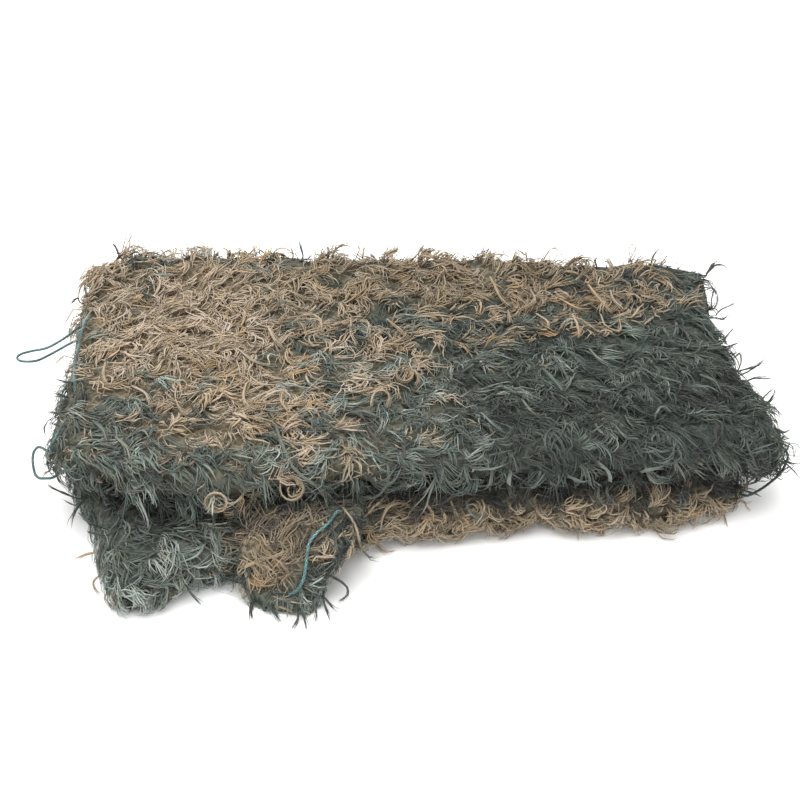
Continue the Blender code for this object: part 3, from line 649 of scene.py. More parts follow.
# Each tuft holds strips of ravelled cloth, and each strip is a flat core with fibres beside it. Lengths, widths and
# lifts are in metres and turns in radians; a pair is the least and the most, and loose is how far fibres stray.
stripKinds = {
    "tan": {
        "perTuft": 4, "length": (0.024, 0.052), "turn": (0.6, 3.3), "curl": 1.1, "backwards": 0.40,
        "lift": (-0.001, 0.008), "cling": (0.8, 1.0), "rootSpread": 0.011, "fan": 0.7, "tuftFan": 0.6,
        "coreWidth": (0.0020, 0.0044), "coreSteps": 8, "crinkle": 0.40, "waves": (0.8, 2.2), "fibres": 4,
        "fibreWidth": (0.0012, 0.0024), "fibreSteps": 5, "loose": 1.3, "shadeSpread": (0.38, 0.15), "paler": 0.24},
    "green": {
        "perTuft": 5, "length": (0.024, 0.052), "turn": (0.1, 1.9), "curl": 1.4, "backwards": 0.45,
        "lift": (-0.002, 0.008), "cling": (0.8, 1.0), "rootSpread": 0.010, "fan": 0.4, "tuftFan": 0.35,
        "coreWidth": (0.0018, 0.0036), "coreSteps": 7, "crinkle": 0.25, "waves": (0.8, 2.0), "fibres": 4,
        "fibreWidth": (0.0009, 0.0018), "fibreSteps": 5, "loose": 1.1, "shadeSpread": (0.72, 0.45), "paler": -0.03},
    "ground": {
        "perTuft": 6, "length": (0.012, 0.026), "turn": (0.2, 2.4), "curl": 1.2, "backwards": 0.5,
        "lift": (-0.004, 0.002), "cling": (0.9, 1.0), "rootSpread": 0.012, "fan": 1.5, "tuftFan": 1.0,
        "coreWidth": (0.0011, 0.0020), "coreSteps": 4, "crinkle": 0.3, "waves": (0.8, 1.6), "fibres": 0,
        "shadeSpread": (0.60, 0.40), "paler": -0.20},
}
stripKinds["brownGround"] = {**stripKinds["ground"], "perTuft": 9, "coreWidth": (0.0014, 0.0026),
                             "shadeSpread": (0.36, 0.18), "paler": 0.16}
# what all strips share: how they stray at the rim, hang, rise out of the pile and keep clear of the cords
pile = {
    "floor": 0.0008, "floorSpread": 0.0015, "hang": 0.008, "rimSlope": 0.75, "rimHeight": 0.03, "strayShare": 0.12,
    "strayRise": (0.003, 0.012), "strayCling": (0, 0.4), "riseCurve": 2.4, "tipDrop": 0.004, "turnSpread": (0.5, 1.35),
    "turnedBack": 0.15, "warmth": (0.26, 0.3), "cordGap": 0.0045, "crossingShare": 0.12}
# a strip's width along its length, and how it tips over
tubeSettings = {"root": 0.6, "bulge": 0.4, "bulgeEnds": 1.2, "taper": 0.45, "widthSpread": (0.75, 1.2), "tilt": 0.45,
                "twist": 0.9}
# how a fibre differs from the strip that it lies beside
fibreSpread = {"aside": 0.0016, "jitter": 0.0006, "heading": 0.16, "length": (0.55, 1.12), "turn": (0.7, 1.25, 0.22),
               "wave": 0.12, "lift": (0.0008, 0.0018), "shade": (-0.04, 0.09)}
# x, y, z of a place, its half sizes, and how much deeper the pile stands there
pilePatches = [
    (0.00, 0.26, 0.12, 0.50, 0.045, 0.06, 0.014),  # back edge
    (-0.40, 0.15, 0.11, 0.045, 0.16, 0.06, 0.013),  # left end, towards the back
    (0.36, 0.24, 0.12, 0.10, 0.07, 0.06, 0.006),
    (0.41, -0.08, 0.09, 0.045, 0.10, 0.05, 0.010),  # right end
    (0.39, 0.09, 0.10, 0.035, 0.10, 0.05, 0.007),
    (0.30, -0.12, 0.02, 0.07, 0.05, 0.04, 0.008),  # right end of the lower pack
]
# the same for how much paler or darker the strips are: mostly the cloth's own tone, but painted shade in the
# crevice, under the upper front edge and on the front of the lump
toneAndShadePatches = [
    (-0.28, 0.10, 0.12, 0.14, 0.16, 0.10, 0.40),  # left field
    (0.10, 0.17, 0.12, 0.26, 0.09, 0.10, -0.20),  # back
    (0.22, -0.06, 0.11, 0.26, 0.12, 0.08, -0.28),  # right front
    (-0.02, -0.03, 0.12, 0.12, 0.10, 0.06, 0.38),  # middle
    (-0.36, -0.12, 0.10, 0.09, 0.10, 0.08, -0.09),  # left front
    (-0.10, -0.20, 0.04, 0.10, 0.06, 0.06, 0.08), (-0.14, -0.19, 0.05, 0.05, 0.05, 0.04, -0.54),  # loose corner
    (-0.28, -0.20, 0.04, 0.13, 0.09, 0.05, 0.62),  # lump
    (-0.09, -0.23, 0.015, 0.05, 0.04, 0.03, 0.42),  # tip of the loose corner
    # painted shade: the lump's front, which faces the light, is darkened
    (-0.288, -0.225, 0.03, 0.035, 0.035, 0.03, -0.26),  # front of the lump
    (-0.16, -0.10, 0.12, 0.12, 0.06, 0.06, 0.14),  # above the upper front
    (0.40, -0.12, 0.06, 0.06, 0.06, 0.05, -0.35), (0.39, 0.06, 0.11, 0.05, 0.14, 0.08, -0.36),  # right end
    # painted shade deep in the crevice between the packs, and under the upper front edge above the lump
    (0.15, -0.13, 0.064, 0.30, 0.07, 0.014, -1.5),  # deep in the crevice
    (-0.28, -0.14, 0.075, 0.12, 0.05, 0.015, -0.9),
]


def flowAt(normals, tan):
    # the way strips lie: down and to the right on the green, along the rows on the tan, hanging down the sides
    lie = np.where(tan, [[0.85, -0.45, 0.0]], [[0.62, -0.78, 0.0]])
    steep = 1 - np.clip(normals[:, 2:3], 0, 1) ** 0.5
    lie = lie * (1 - 0.6 * steep) + np.array([0, 0, -1.0]) * steep
    flat = lie - (lie * normals).sum(1, keepdims=True) * normals
    return unit(flat)


def turned(vectors, axes, angles):
    c, s = np.cos(angles)[:, None], np.sin(angles)[:, None]
    return vectors * c + np.cross(axes, vectors) * s + axes * (axes * vectors).sum(1, keepdims=True) * (1 - c)


def nearestOuter(points):
    found = [outerTree.find_nearest(p) for p in points.reshape(-1, 3).tolist()]
    places = np.array([f[0] for f in found]).reshape(points.shape)
    normals = np.array([f[1] for f in found]).reshape(points.shape)
    return places, normals


def planStrips(rng, kind, roots, normals, depths, tan):
    count = len(roots) * kind["perTuft"]
    owner = np.repeat(np.arange(len(roots)), kind["perTuft"])
    axes = normals[owner]
    around = unit(np.cross(axes, rng.normal(size=axes.shape)))
    places = roots[owner] + around * rng.random((count, 1)) ** 0.5 * kind["rootSpread"]
    headings = turned(flowAt(axes, tan), axes, rng.normal(0, kind["tuftFan"], len(roots))[owner]
                      + rng.normal(0, kind["fan"], count))
    tuftTurn = rng.uniform(*kind["turn"], len(roots)) * np.where(rng.random(len(roots)) < kind["backwards"], -1, 1)
    rim = (np.abs(axes[:, 2]) < pile["rimSlope"]) & (places[:, 2] > pile["rimHeight"])
    stray = rim & (rng.random(count) < pile["strayShare"])
    plan = {
        "root": places, "axis": axes, "heading": headings, "depth": depths[owner],
        "length": rng.uniform(*kind["length"], count),
        "turn": (tuftTurn[owner] * rng.uniform(*pile["turnSpread"], count)
                 * np.where(rng.random(count) < pile["turnedBack"], -1, 1)),
        "wave": rng.normal(0, kind["crinkle"], count),
        "waves": rng.uniform(*kind["waves"], count), "phase": rng.random(count),
        "lift": rng.uniform(*kind["lift"], count) + patchSum(pilePatches, places) * rng.random(count) ** 0.5,
        "cling": np.where(stray, rng.uniform(*pile["strayCling"], count), rng.uniform(*kind["cling"], count)),
        "rise": np.where(stray, rng.uniform(*pile["strayRise"], count), 0),
        "hang": rng.random(count) * pile["hang"] * ~stray,
        "shade": (kind["shadeSpread"][0] * rng.random(len(roots))[owner]
                  + kind["shadeSpread"][1] * rng.random(count) ** 1.3 + patchSum(toneAndShadePatches, places) + kind["paler"]),
        "warm": np.clip(rng.normal(*pile["warmth"], count), 0, 1),
    }
    plan["heading"] = np.where(stray[:, None], turned(headings, axes, rng.normal(0, 1.0, count)), headings)
    return plan


def followers(rng, kind, plan):
    # the fibres that lie beside each strip, parting from it towards their tips
    again = {k: np.repeat(v, kind["fibres"], axis=0) for k, v in plan.items()}
    count, loose, spread = len(again["length"]), kind["loose"], fibreSpread
    aside = np.cross(again["axis"], again["heading"])
    again["root"] = (again["root"] + aside * rng.normal(0, spread["aside"] * loose, (count, 1))
                     + rng.normal(0, spread["jitter"], (count, 3)))
    again["heading"] = turned(again["heading"], again["axis"], rng.normal(0, spread["heading"] * loose, count))
    again["length"] = again["length"] * rng.uniform(*spread["length"], count)
    least, most, extra = spread["turn"]
    again["turn"] = again["turn"] * rng.uniform(least, most, count) + rng.normal(0, extra * loose, count)
    again["wave"] = again["wave"] + rng.normal(0, spread["wave"] * loose, count)
    again["lift"] = again["lift"] + rng.normal(spread["lift"][0], spread["lift"][1] * loose, count)
    again["shade"] = again["shade"] + rng.normal(*spread["shade"], count)
    return again


def stripPaths(rng, plan, kind, steps):
    # each strip is laid out flat as a curl, then brought down onto the surface
    t = np.linspace(0, 1, steps)[None, :]
    column = {k: v[:, None] for k, v in plan.items() if v.ndim == 1}
    waves = np.sin(2 * math.pi * (t * column["waves"] + column["phase"]))
    angle = column["turn"] * t ** kind["curl"] + column["wave"] * waves
    stepLength = column["length"] / (steps - 1)
    u = np.cumsum(np.cos(angle), 1) * stepLength
    v = np.cumsum(np.sin(angle), 1) * stepLength
    u, v = u - u[:, :1], v - v[:, :1]
    across = np.cross(plan["axis"], plan["heading"])
    flat = plan["root"][:, None] + plan["heading"][:, None] * u[..., None] + across[:, None] * v[..., None]
    on, up = nearestOuter(flat)
    rise = 1 - (1 - t) ** pile["riseCurve"]
    high = -column["depth"] + (column["depth"] + column["lift"]) * rise - pile["tipDrop"] * t**3
    cling = column["cling"][..., None]
    path = flat * (1 - cling) + on * cling + up * high[..., None]
    path = path + plan["axis"][:, None] * (column["rise"] * t)[..., None]
    side = 1 - np.clip(up[..., 2], 0, 1)
    path[..., 2] -= column["hang"] * side * t**2
    floor = pile["floor"] + rng.random(column["length"].shape) * pile["floorSpread"]
    path[..., 2] = np.maximum(path[..., 2], floor)
    return path, up


def stripTubes(rng, shades, path, up, width, flatness):
    # three-sided tapering tubes along the paths, as vertices, faces and what the material reads
    n, steps = path.shape[:2]
    t = np.linspace(0, 1, steps)[None, :-1]
    s = tubeSettings
    bulge = s["root"] + s["bulge"] * np.sin(math.pi * np.clip(t * s["bulgeEnds"], 0, 1))
    width = rng.uniform(*width, (n, 1)) * bulge * (1 - s["taper"] * t**2)
    width = width * rng.uniform(*s["widthSpread"], width.shape)
    tangent = unit(np.gradient(path, axis=1))
    side = unit(np.cross(tangent, up))
    lifted = np.cross(side, tangent)
    tilt = rng.normal(0, s["tilt"], (n, 1)) + rng.normal(0, s["twist"], (n, 1)) * t
    cosine, sine = np.cos(tilt)[..., None], np.sin(tilt)[..., None]
    side, lifted = side[:, :-1], lifted[:, :-1]
    side, lifted = side * cosine + lifted * sine, lifted * cosine - side * sine
    corners = []
    for angle in np.radians([90, 210, 330]):
        offset = side * math.cos(angle) + lifted * math.sin(angle) * flatness
        corners.append(path[:, :-1] + offset * width[..., None] / 2)
    rings = np.stack(corners, 2)  # strip, step, corner, xyz
    rings[..., 2] = np.maximum(rings[..., 2], lowest)
    each = (steps - 1) * 3 + 1
    vertices = np.concatenate([rings.reshape(n, -1, 3), path[:, -1:]], 1)
    i, j = np.meshgrid(np.arange(steps - 2), np.arange(3), indexing="ij")
    k = (j + 1) % 3
    quads = np.stack([i * 3 + j, i * 3 + k, (i + 1) * 3 + k, (i + 1) * 3 + j], -1).reshape(-1, 4)
    last = (steps - 2) * 3
    tips = np.array([[last, last + 1, each - 1], [last + 1, last + 2, each - 1], [last + 2, last, each - 1], [2, 1, 0]])
    along = np.concatenate([np.repeat(np.linspace(0, 1, steps)[:-1], 3), [1.0]])
    across = np.concatenate([np.tile([1.0, 2.0, 0.0], steps - 1), [1.0]])
    attributes = {"along": np.tile(along, (n, 1)), "across": np.tile(across, (n, 1)),
                  **{key: np.repeat(shades[key][:, None], each, 1) for key in ("shade", "warm")}}
    return vertices, quads, tips, attributes


def stripMaterial(name, stops, warmStops, rootShade, sheen):
    # Ravelled polyester strips: fine streaks along each strip, matt and fuzzy, with painted shade darkening each strip
    # down in the pile towards its root, and the palest strips partly the cloth's own paler tone and partly painted
    # highlight.
    # The streaks are drawn about 0.8 mm wide, coarser than the real fibres, so that they show.
    made, tree, shader = newMaterial(name)
    shade, along, across, warm = [attributeOf(tree, key) for key in ("shade", "along", "across", "warm")]
    place = addNode(tree, "CombineXYZ", None, {
        "X": mathOf(tree, "MULTIPLY", across, 2.6), "Y": mathOf(tree, "MULTIPLY", along, 3.0),
        "Z": mathOf(tree, "MULTIPLY", shade, 977.0)}).outputs["Vector"]
    streak = noiseOf(tree, place, 1.0, 3.0, 0.65)
    tone = mathOf(tree, "MULTIPLY_ADD", streak, 0.32, shade)
    tone = mathOf(tree, "MULTIPLY_ADD", noiseOf(tree, objectPlace(tree), 30.0, 2.0), 0.5, tone)
    tone = rangeOf(tree, tone, 0.23, 1.56, 0.0, 1.0)
    yarn = mixOf(tree, warm, rampOf(tree, tone, stops), rampOf(tree, tone, warmStops))
    # painted shade: each strip darker towards its root, down in the pile
    depth = rangeOf(tree, along, 0.0, 0.4, rootShade, 1.0)
    setInputs(tree, shader, {
        "Base Color": mixOf(tree, 1.0, yarn, depth, "MULTIPLY"), "Normal": bumpOf(tree, streak, 0.5, 0.0006),
        "Roughness": 0.85, "Sheen Weight": sheen, "Sheen Roughness": 0.5})
    return made


# The ramps run from a dark end that is painted shade, reached by strips in the crevice and under the front edges, to a
# pale end that is partly the cloth's own paler tone and partly painted highlight.
tanMaterial = stripMaterial(
    "ravelledPolyesterTan",
    [(0.0, "#2C261C"), (0.12, "#706350"), (0.3, "#93846C"), (0.6, "#AA9B84"), (0.85, "#BBAB98"), (1.0, "#CABBAA")],
    [(0.0, "#2A2215"), (0.12, "#69573B"), (0.3, "#8F7650"), (0.6, "#A88B62"), (0.85, "#B69A72"), (1.0, "#C5AD89")],
    0.92, 0.3)
greenMaterial = stripMaterial(
    "ravelledPolyesterGreen",
    [(0.0, "#121814"), (0.3, "#364139"), (0.6, "#5A675F"), (0.85, "#7E8C83"), (1.0, "#AAB5AD")],
    [(0.0, "#141711"), (0.3, "#3D4136"), (0.6, "#616456"), (0.85, "#868776"), (1.0, "#ADAC9A")],
    0.45, 0.2)

mostTriangles = 190000  # in one piece
flatShares = {"core": 0.3, "fibre": 0.7}  # thickness as a share of width


def joinStrips(name, made, material):
    # strips in pieces of no more than about mostTriangles triangles each, from left to
    # right; strips in pieces small enough to export whole, from left to right
    vertices, quads, tips, attributes = made
    strips, each = vertices.shape[:2]
    perStrip = 2 * len(quads) + len(tips)
    order = np.argsort(vertices[:, 0, 0])
    pieces = math.ceil(strips * perStrip / mostTriangles)
    for number, group in enumerate(np.array_split(order, pieces), 1):
        shift = (np.arange(len(group)) * each)[:, None, None]
        part = vertices[group].reshape(-1, 3)
        faces = [(quads[None] + shift).reshape(-1, 4), (tips[None] + shift).reshape(-1, 3)]
        held = {k: v[group].reshape(-1) for k, v in attributes.items()}
        piece = meshObject(f"{name}_{number}", part, outwardFaces(part, faces), material, held)
        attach(piece, "root")
    return strips * perStrip


def clearOfCords(path, rng):
    # leaves out most strips that would cross over a cord
    nearCord = np.zeros(len(path), bool)
    for line in cordLines:
        for point in line:
            nearCord |= (((path - point) ** 2).sum(-1) < pile["cordGap"] ** 2).any(1)
    return ~nearCord | (rng.random(len(path)) < pile["crossingShare"])


def buildStrips(name, seed, chosen, tan, kind, material):
    rng = np.random.default_rng(seed)
    plan = planStrips(rng, kind, tuftRoots[chosen], tuftNormals[chosen], tuftDepths[chosen], tan)
    sets = [("strips", plan, kind["coreSteps"], kind["coreWidth"], flatShares["core"])]
    if kind["fibres"]:
        sets.append(("fibres", followers(rng, kind, plan), kind["fibreSteps"], kind["fibreWidth"], flatShares["fibre"]))
    total = 0
    for what, plan, steps, width, flatness in sets:
        path, up = stripPaths(rng, plan, kind, steps)
        keep = clearOfCords(path, rng)
        plan = {k: v[keep] for k, v in plan.items()}
        total += joinStrips(f"{name}_{what}", stripTubes(rng, plan, path[keep], up[keep], width, flatness), material)
    return total


mottle, brownAnyway = 0.16, 0.05
rngPatch = np.random.default_rng(11)
tuftIsTan = rngPatch.random(len(tuftRoots)) < tanShare(tuftRoots, rngPatch.normal(0, mottle, len(tuftRoots)))
tuftIsUnder = (tuftNormals[:, 2] < tuftSettings["underSlope"]) & (tuftRoots[:, 2] < tuftSettings["underHeight"])
groundIsBrown = rngPatch.random(len(tuftRoots)) < patchSum(brownPatches, tuftRoots) + brownAnyway
triangles = sum(buildStrips(*row) for row in (
    ("tan", 21, tuftIsTan, True, stripKinds["tan"], tanMaterial),
    ("green", 22, ~tuftIsTan, False, stripKinds["green"], greenMaterial),
    ("brown_pile", 23, groundIsBrown & ~tuftIsUnder, True, stripKinds["brownGround"], tanMaterial),
    ("green_pile", 24, ~groundIsBrown & ~tuftIsUnder, False, stripKinds["ground"], greenMaterial)))

# Strips placed one by one, as points of x, y and z in millimetres: strays past the edges, and the larger curls that
# lie on top or hang down the fronts.
placedStrips = {
    "spikeGreen": [
        [(366, 211, 104), (369, 215, 109), (376, 219, 114), (383, 221, 116), (390, 220, 115), (395, 218, 112)],
        [(367, 212, 106), (372, 218, 113), (377, 222, 118), (382, 224, 121)],
        [(365, 154, 95), (364, 160, 102), (366, 167, 110), (370, 173, 118)],
        [(366, 154, 95), (371, 160, 102), (371, 166, 110), (368, 171, 115)],
        [(367, 146, 92), (374, 150, 98), (383, 153, 101), (391, 156, 104)],
        [(369, 142, 92), (375, 141, 91), (381, 143, 94), (384, 143, 94)],
        [(360, 76, 104), (365, 81, 110), (370, 85, 114), (374, 88, 119)],
        [(358, 68, 106), (364, 67, 105), (370, 68, 107), (376, 70, 109)],
        [(370, 33, 98), (373, 38, 104), (373, 43, 110), (371, 46, 113), (368, 43, 110), (361, 41, 107)],
        [(372, 31, 98), (381, 32, 100), (390, 34, 102), (396, 36, 104), (401, 37, 105)],
        [(373, 25, 98), (381, 27, 101), (389, 30, 105), (395, 33, 109), (399, 36, 112)],
        [(376, 11, 100), (384, 13, 102), (394, 13, 102), (404, 13, 102)],
        [(381, -24, 98), (387, -20, 103), (393, -17, 108), (398, -14, 111)],
        [(385, -32, 101), (390, -29, 104), (394, -25, 109), (396, -21, 114)],
        [(392, -69, 97), (397, -71, 95), (403, -69, 97)], [(392, -77, 89), (398, -75, 92), (403, -77, 90)],
        [(393, -85, 75), (399, -83, 77), (403, -79, 81), (404, -75, 86)],
        [(393, -93, 68), (399, -90, 71), (404, -89, 73)],
        [(298, 220, 112), (301, 226, 120), (304, 231, 125), (310, 235, 131)],
        [(232, 221, 114), (230, 226, 120), (235, 228, 123)], [(-358, 225, 126), (-361, 230, 133), (-366, 235, 139)],
        [(-132, 238, 118), (-135, 246, 127), (-137, 250, 132)], [(-395, 152, 108), (-398, 155, 112), (-410, 149, 104)],
        [(-368, -18, 121), (-378, -17, 122), (-385, -16, 124)], [(-368, -39, 117), (-376, -38, 119), (-385, -36, 121)],
        [(-365, -63, 117), (-375, -64, 116), (-386, -63, 117)], [(-359, -90, 121), (-367, -91, 121), (-375, -88, 124)],
        [(-347, -132, 56), (-353, -131, 57), (-372, -126, 64), (-381, -122, 68)],
        [(-327, -170, 57), (-334, -166, 61), (-341, -162, 66)], [(-312, -184, 55), (-321, -183, 56), (-329, -182, 58)],
        [(-222, -234, 27), (-216, -239, 22), (-209, -243, 16)],
        [(-81, -221, 35), (-66, -227, 28), (-64, -233, 20), (-74, -238, 15)],
        [(-161, -229, 10), (-162, -237, 2), (-160, -250, 2)], [(-89, -232, 17), (-86, -240, 8), (-81, -250, 2)],
        [(-87, -233, 15), (-79, -239, 8), (-72, -241, 5)], [(-113, -243, 16), (-107, -251, 6), (-104, -263, 2)],
        [(-115, -244, 16), (-113, -251, 6), (-119, -262, 2)], [(-142, -242, 14), (-135, -248, 7), (-130, -253, 2)],
        [(-99, -238, 16), (-95, -245, 8), (-96, -253, 2)],
    ],
    "spikeTan": [
        [(-347, 226, 126), (-351, 233, 134), (-355, 235, 137)], [(-304, 242, 112), (-309, 248, 119), (-314, 252, 124)],
        [(-311, 243, 116), (-301, 247, 121), (-293, 244, 117)], [(-255, 239, 117), (-247, 245, 124), (-240, 245, 124)],
        [(-191, 240, 117), (-195, 249, 127), (-199, 252, 131)], [(-65, 238, 118), (-62, 243, 124), (-64, 247, 129)],
        [(-58, 237, 117), (-56, 246, 127)],
        [(-173, 233, 116), (-166, 240, 125), (-156, 242, 127), (-148, 239, 124), (-142, 233, 117)],
        [(12, 233, 115), (12, 240, 124), (13, 244, 128)], [(21, 231, 115), (23, 238, 124), (22, 241, 126)],
        [(87, 229, 119), (94, 235, 127), (100, 236, 128)], [(146, 227, 117), (144, 234, 126), (141, 236, 128)],
        [(166, 227, 119), (172, 234, 126), (178, 237, 130), (183, 236, 129), (183, 232, 125), (178, 229, 121)],
        [(351, -87, 11), (365, -88, 10), (369, -92, 5), (374, -96, 2)], [(357, -86, 10), (367, -88, 7), (375, -88, 8)],
        [(341, -96, 7), (343, -105, 2), (342, -120, 2)], [(179, -125, 9), (179, -140, 2)],
        [(-390, 42, 111), (-399, 38, 105), (-404, 34, 101)], [(-374, -116, 82), (-380, -118, 80), (-385, -122, 76)],
        [(-319, -195, 42), (-332, -197, 40), (-344, -201, 35)],
        [(-317, -205, 19), (-324, -209, 13), (-321, -215, 7), (-316, -217, 4)],
        [(-306, -224, 17), (-309, -229, 10), (-302, -234, 4), (-296, -236, 2)],
    ],
    "tan": [
        [(97, 183, 124), (101, 164, 125), (108, 139, 123), (121, 129, 115)],
        [(147, 104, 125), (159, 91, 123), (156, 78, 121), (141, 78, 124)],
        [(239, 156, 123), (241, 137, 122), (251, 121, 120)], [(143, 202, 121), (151, 184, 112), (151, 164, 114)],
        [(222, 109, 121), (226, 89, 118), (241, 79, 119), (242, 102, 122)],
        [(188, 100, 127), (190, 70, 132), (190, 52, 127)], [(295, 186, 121), (314, 175, 115), (296, 154, 118)],
        [(273, 99, 115), (285, 110, 116)], [(116, 124, 115), (115, 83, 126)],
        [(146, 168, 116), (146, 126, 128), (127, 127, 116), (120, 144, 120)], [(275, 145, 122), (307, 142, 114)],
        [(179, 148, 116), (198, 127, 116), (212, 116, 121)], [(214, 182, 117), (221, 144, 123), (235, 107, 122)],
        [(-27, 99, 121), (-14, 79, 123), (0, 56, 123)],
        [(-42, -68, 131), (-39, -55, 135), (-29, -49, 135), (-22, -54, 130), (-25, -71, 127)],
        [(-8, -26, 128), (0, -9, 132), (9, -17, 127), (5, -31, 123)],
        [(-247, 9, 136), (-232, 2, 134), (-221, -10, 130)], [(-191, 28, 131), (-167, -4, 137), (-150, 6, 126)],
        [(-251, -36, 126), (-250, -49, 124), (-239, -81, 136), (-227, -88, 131)],
        [(-176, -32, 131), (-178, -46, 126), (-172, -64, 127), (-160, -75, 129)],
        [(-163, 80, 125), (-149, 38, 135), (-138, 29, 130)], [(-333, 3, 132), (-331, -20, 132), (-323, -41, 132)],
        [(-182, 223, 124), (-183, 200, 126), (-170, 173, 126)], [(-68, 96, 125), (-67, 63, 126), (-59, 43, 124)],
        [(-128, -83, 135), (-136, -64, 134), (-134, -39, 131)], [(-299, -33, 128), (-281, -52, 133), (-273, -71, 131)],
        [(-70, -161, 72), (-65, -170, 72), (-59, -179, 71), (-54, -191, 66), (-51, -199, 54), (-48, -206, 47)],
        [(-66, -191, 68), (-71, -197, 67), (-77, -203, 64)],
        [(-181, -195, 12), (-169, -213, 35), (-164, -221, 32), (-163, -224, 21), (-164, -225, 11), (-169, -229, 8),
         (-173, -224, 13), (-175, -216, 21)],
        [(-183, -198, 12), (-167, -216, 42), (-152, -214, 49), (-137, -212, 54), (-121, -208, 59)],
        [(-26, -148, 35), (-34, -145, 14), (-36, -151, 6), (-26, -157, 2), (-16, -154, 2)],
        [(-32, -148, 35), (-24, -139, 50), (-11, -135, 53), (-1, -140, 51)],
        [(17, -139, 54), (23, -146, 48), (23, -150, 37)], [(31, -140, 51), (36, -146, 39), (30, -149, 34)],
        [(42, -134, 54), (47, -142, 44), (50, -144, 34)],
    ],
    "green": [
        [(-140, -98, 130), (-131, -129, 129), (-117, -154, 117), (-101, -160, 105), (-92, -139, 71), (-85, -159, 75)],
        [(144, 0, 126), (152, -11, 124), (164, -37, 123)], [(157, 18, 128), (166, 2, 124), (171, -17, 123)],
        [(200, 36, 125), (210, 21, 122), (221, 11, 122)],
        [(256, -75, 123), (265, -58, 119), (270, -59, 120), (274, -70, 122)],
        [(117, -56, 129), (127, -77, 128), (136, -82, 127)], [(73, -77, 127), (85, -95, 125), (95, -99, 119)],
        [(211, -97, 126), (221, -106, 119), (235, -108, 118)], [(316, -7, 123), (330, -16, 121), (336, -29, 115)],
        [(-331, -86, 124), (-316, -106, 129), (-309, -122, 126)],
        [(-301, -115, 127), (-286, -138, 134), (-279, -156, 131)],
        [(192, -128, 103), (203, -129, 91), (208, -124, 73), (210, -107, 60), (202, -113, 60)],
        [(161, -139, 94), (177, -132, 80), (197, -105, 63)], [(116, -114, 63), (128, -138, 82), (136, -140, 100)],
        [(236, -132, 94), (249, -131, 98), (260, -128, 98)], [(199, -113, 60), (197, -126, 53), (205, -132, 41)],
        [(209, -110, 60), (207, -122, 53), (215, -126, 44)],
        [(-24, -138, 112), (-23, -145, 98), (-29, -144, 79), (-39, -135, 62), (-51, -138, 64), (-63, -133, 66)],
        [(32, -138, 101), (30, -138, 85), (24, -128, 64), (14, -129, 62)],
        [(82, -138, 100), (81, -139, 84), (75, -126, 63), (65, -124, 62)],
        [(58, -132, 53), (60, -139, 48), (67, -143, 40), (79, -143, 39)],
        [(102, -134, 96), (101, -133, 79), (108, -120, 62)],
        [(132, -136, 98), (128, -134, 76), (121, -122, 62), (111, -120, 62)],
    ],
}
placedLooks = {  # width, how pale, fibres beside each, how far they part, material
    "spikeGreen": (0.0034, (0.05, 0.50), 4, 0.0035, greenMaterial),
    "spikeTan": (0.0026, (0.40, 0.90), 3, 0.003, tanMaterial),
    "tan": (0.0033, (0.42, 0.78), 6, 0.0040, tanMaterial),
    "green": (0.0042, (0.52, 0.88), 5, 0.0035, greenMaterial),
    "round_knots": (0.0016, (0.05, 0.55), 4, 0.0018, tanMaterial),
}
placedSettings = {"steps": 11, "rootDepth": 0.004, "step": 0.001, "widthSpread": (0.85, 1.15), "warmth": (0.4, 0.25),
                  "fibreWidth": (0.0009, 0.0015), "fibreNear": 0.3, "fibreApart": (0.3, 1.0), "fibreShade": 0.08}
# x, y, z of the middle, and radius, of the round tan knots
roundKnots = [(-0.194, -0.177, 0.096, 0.0105), (-0.120, -0.160, 0.098, 0.0125), (-0.224, -0.140, 0.120, 0.009),
              (-0.006, -0.017, 0.130, 0.009)]
knotSettings = {"turns": 5, "turnPoints": 7, "sweep": (200, 290), "ringSpread": (0.88, 1.08),
                "ringHeight": (0.001, 0.005), "ends": 7, "reach": (0.8, 2.0), "off": (0.2, 0.8), "drift": 0.25,
                "endHeight": 0.004}


def buildPlaced(name, seed, rows, look):
    rng = np.random.default_rng(seed)
    width, pale, fibres, part, material = look
    s = placedSettings
    steps = s["steps"]
    paths = []
    for row in rows:
        route = smoothRoute(row, s["step"])[0]
        wanted, known = np.linspace(0, len(route) - 1, steps), np.arange(len(route))
        paths.append(np.stack([np.interp(wanted, known, route[:, i]) for i in range(3)], 1))
    path = np.array(paths)
    near, normals = nearestOuter(path[:, 0])
    path = np.concatenate([(near - normals * s["rootDepth"])[:, None], path], 1)  # each starts in the cloth
    up = nearestOuter(path)[1]
    looks = {"shade": rng.uniform(*pale, len(path)), "warm": np.clip(rng.normal(*s["warmth"], len(path)), 0, 1)}
    widths = [width * share for share in s["widthSpread"]]
    total = joinStrips(name, stripTubes(rng, looks, path, up, widths, flatShares["core"]), material)
    owner = np.repeat(np.arange(len(path)), fibres)
    t = np.linspace(0, 1, steps + 1)[None, :, None]
    aside = unit(rng.normal(size=(len(owner), 1, 3)))
    apart = width * s["fibreNear"] + part * t**2
    beside = path[owner] + aside * apart * rng.uniform(*s["fibreApart"], (len(owner), 1, 1))
    beside[..., 2] = np.maximum(beside[..., 2], pile["floor"])
    looks = {k: v[owner] + rng.normal(0, s["fibreShade"], len(owner)) for k, v in looks.items()}
    tubes = stripTubes(rng, looks, beside, up[owner], s["fibreWidth"], flatShares["fibre"])
    return total + joinStrips(f"{name}_fibres", tubes, material)


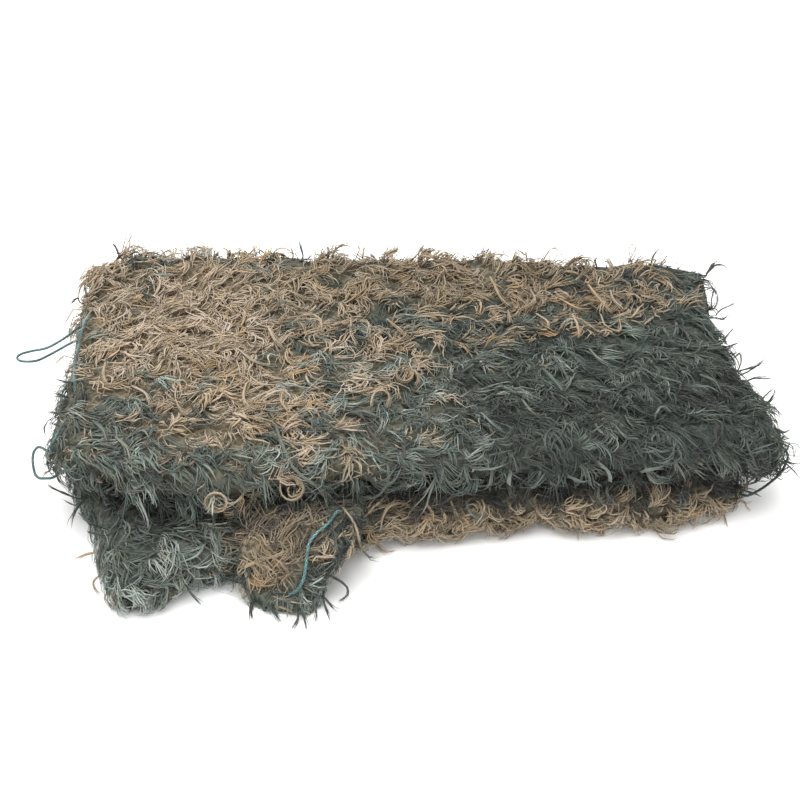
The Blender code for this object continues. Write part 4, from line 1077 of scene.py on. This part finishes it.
def knotStrips(rng, x, y, z, radius):
    # a round knot: turns of strip in a ring, and shorter ends crossing inside it
    s, middle = knotSettings, np.array([x, y, z])
    normal = unit(np.array(outerTree.find_nearest((x, y, z))[1]) + [0.0, -0.5, 0.6])
    right = unit(np.cross(normal, [0.0, 1.0, 0.2]))
    up = np.cross(right, normal) * -1
    rows = []
    for turn in range(s["turns"]):
        angle = np.radians(rng.uniform(0, 360) + np.linspace(0, rng.uniform(*s["sweep"]), s["turnPoints"]))
        r = radius * rng.uniform(*s["ringSpread"])
        height = rng.uniform(*s["ringHeight"])
        rows.append([middle + right * r * math.cos(a) + up * r * math.sin(a) + normal * height for a in angle])
    for end in range(s["ends"]):
        start, reach, off = rng.uniform(0, 2 * math.pi), rng.uniform(*s["reach"]), rng.uniform(*s["off"])
        row = []
        for f in (0.0, 0.33, 0.67, 1.0):
            towards = right * math.cos(start + reach * f) + up * math.sin(start + reach * f)
            row.append(middle + towards * radius * (off + s["drift"] * f) + normal * rng.uniform(0.0, s["endHeight"]))
        rows.append(row)
    return rows


placedTriangles = 0
for seed, (name, rows) in enumerate(placedStrips.items(), 40):
    placedTriangles += buildPlaced(f"placed_{name}", seed, [np.array(row) / 1000 for row in rows], placedLooks[name])
rngKnots = np.random.default_rng(61)
knots = [row for knot in roundKnots for row in knotStrips(rngKnots, *knot)]
placedTriangles += buildPlaced("round_knots", 62, knots, placedLooks["round_knots"])
print("placed strips:", placedTriangles, "triangles")

# floor and light
stageSettings = {"floorSize": 8.0, "sky": 1.0, "lightPlace": (-0.25, -0.40, 2.6), "lightSize": 2.0,
                 "lightPower": 72.0}


def buildStage(settings):
    bpy.ops.object.select_all(action="DESELECT")
    bpy.ops.mesh.primitive_plane_add(size=settings["floorSize"], location=(0, 0, 0))
    floor = bpy.context.object
    floor.name = "floor"
    made, tree, shader = newMaterial("matteWhiteFloor")
    shader.inputs["Base Color"].default_value = linearColour("#FBFBFA")
    shader.inputs["Roughness"].default_value = 0.9
    floor.data.materials.append(made)
    world = bpy.data.worlds.new("softSky")
    scene.world = world
    world.use_nodes = True
    world.node_tree.nodes["Background"].inputs["Color"].default_value = (1, 1, 1, 1)
    world.node_tree.nodes["Background"].inputs["Strength"].default_value = settings["sky"]
    light = bpy.data.lights.new("softbox", "AREA")
    light.size = settings["lightSize"]
    light.energy = settings["lightPower"]
    lamp = bpy.data.objects.new("softbox", light)
    lamp.location = settings["lightPlace"]
    lamp.rotation_euler = (-Vector(settings["lightPlace"])).to_track_quat("-Z", "Y").to_euler()
    scene.collection.objects.link(lamp)
    scene.view_settings.view_transform = "Standard"


buildStage(stageSettings)

print("done")
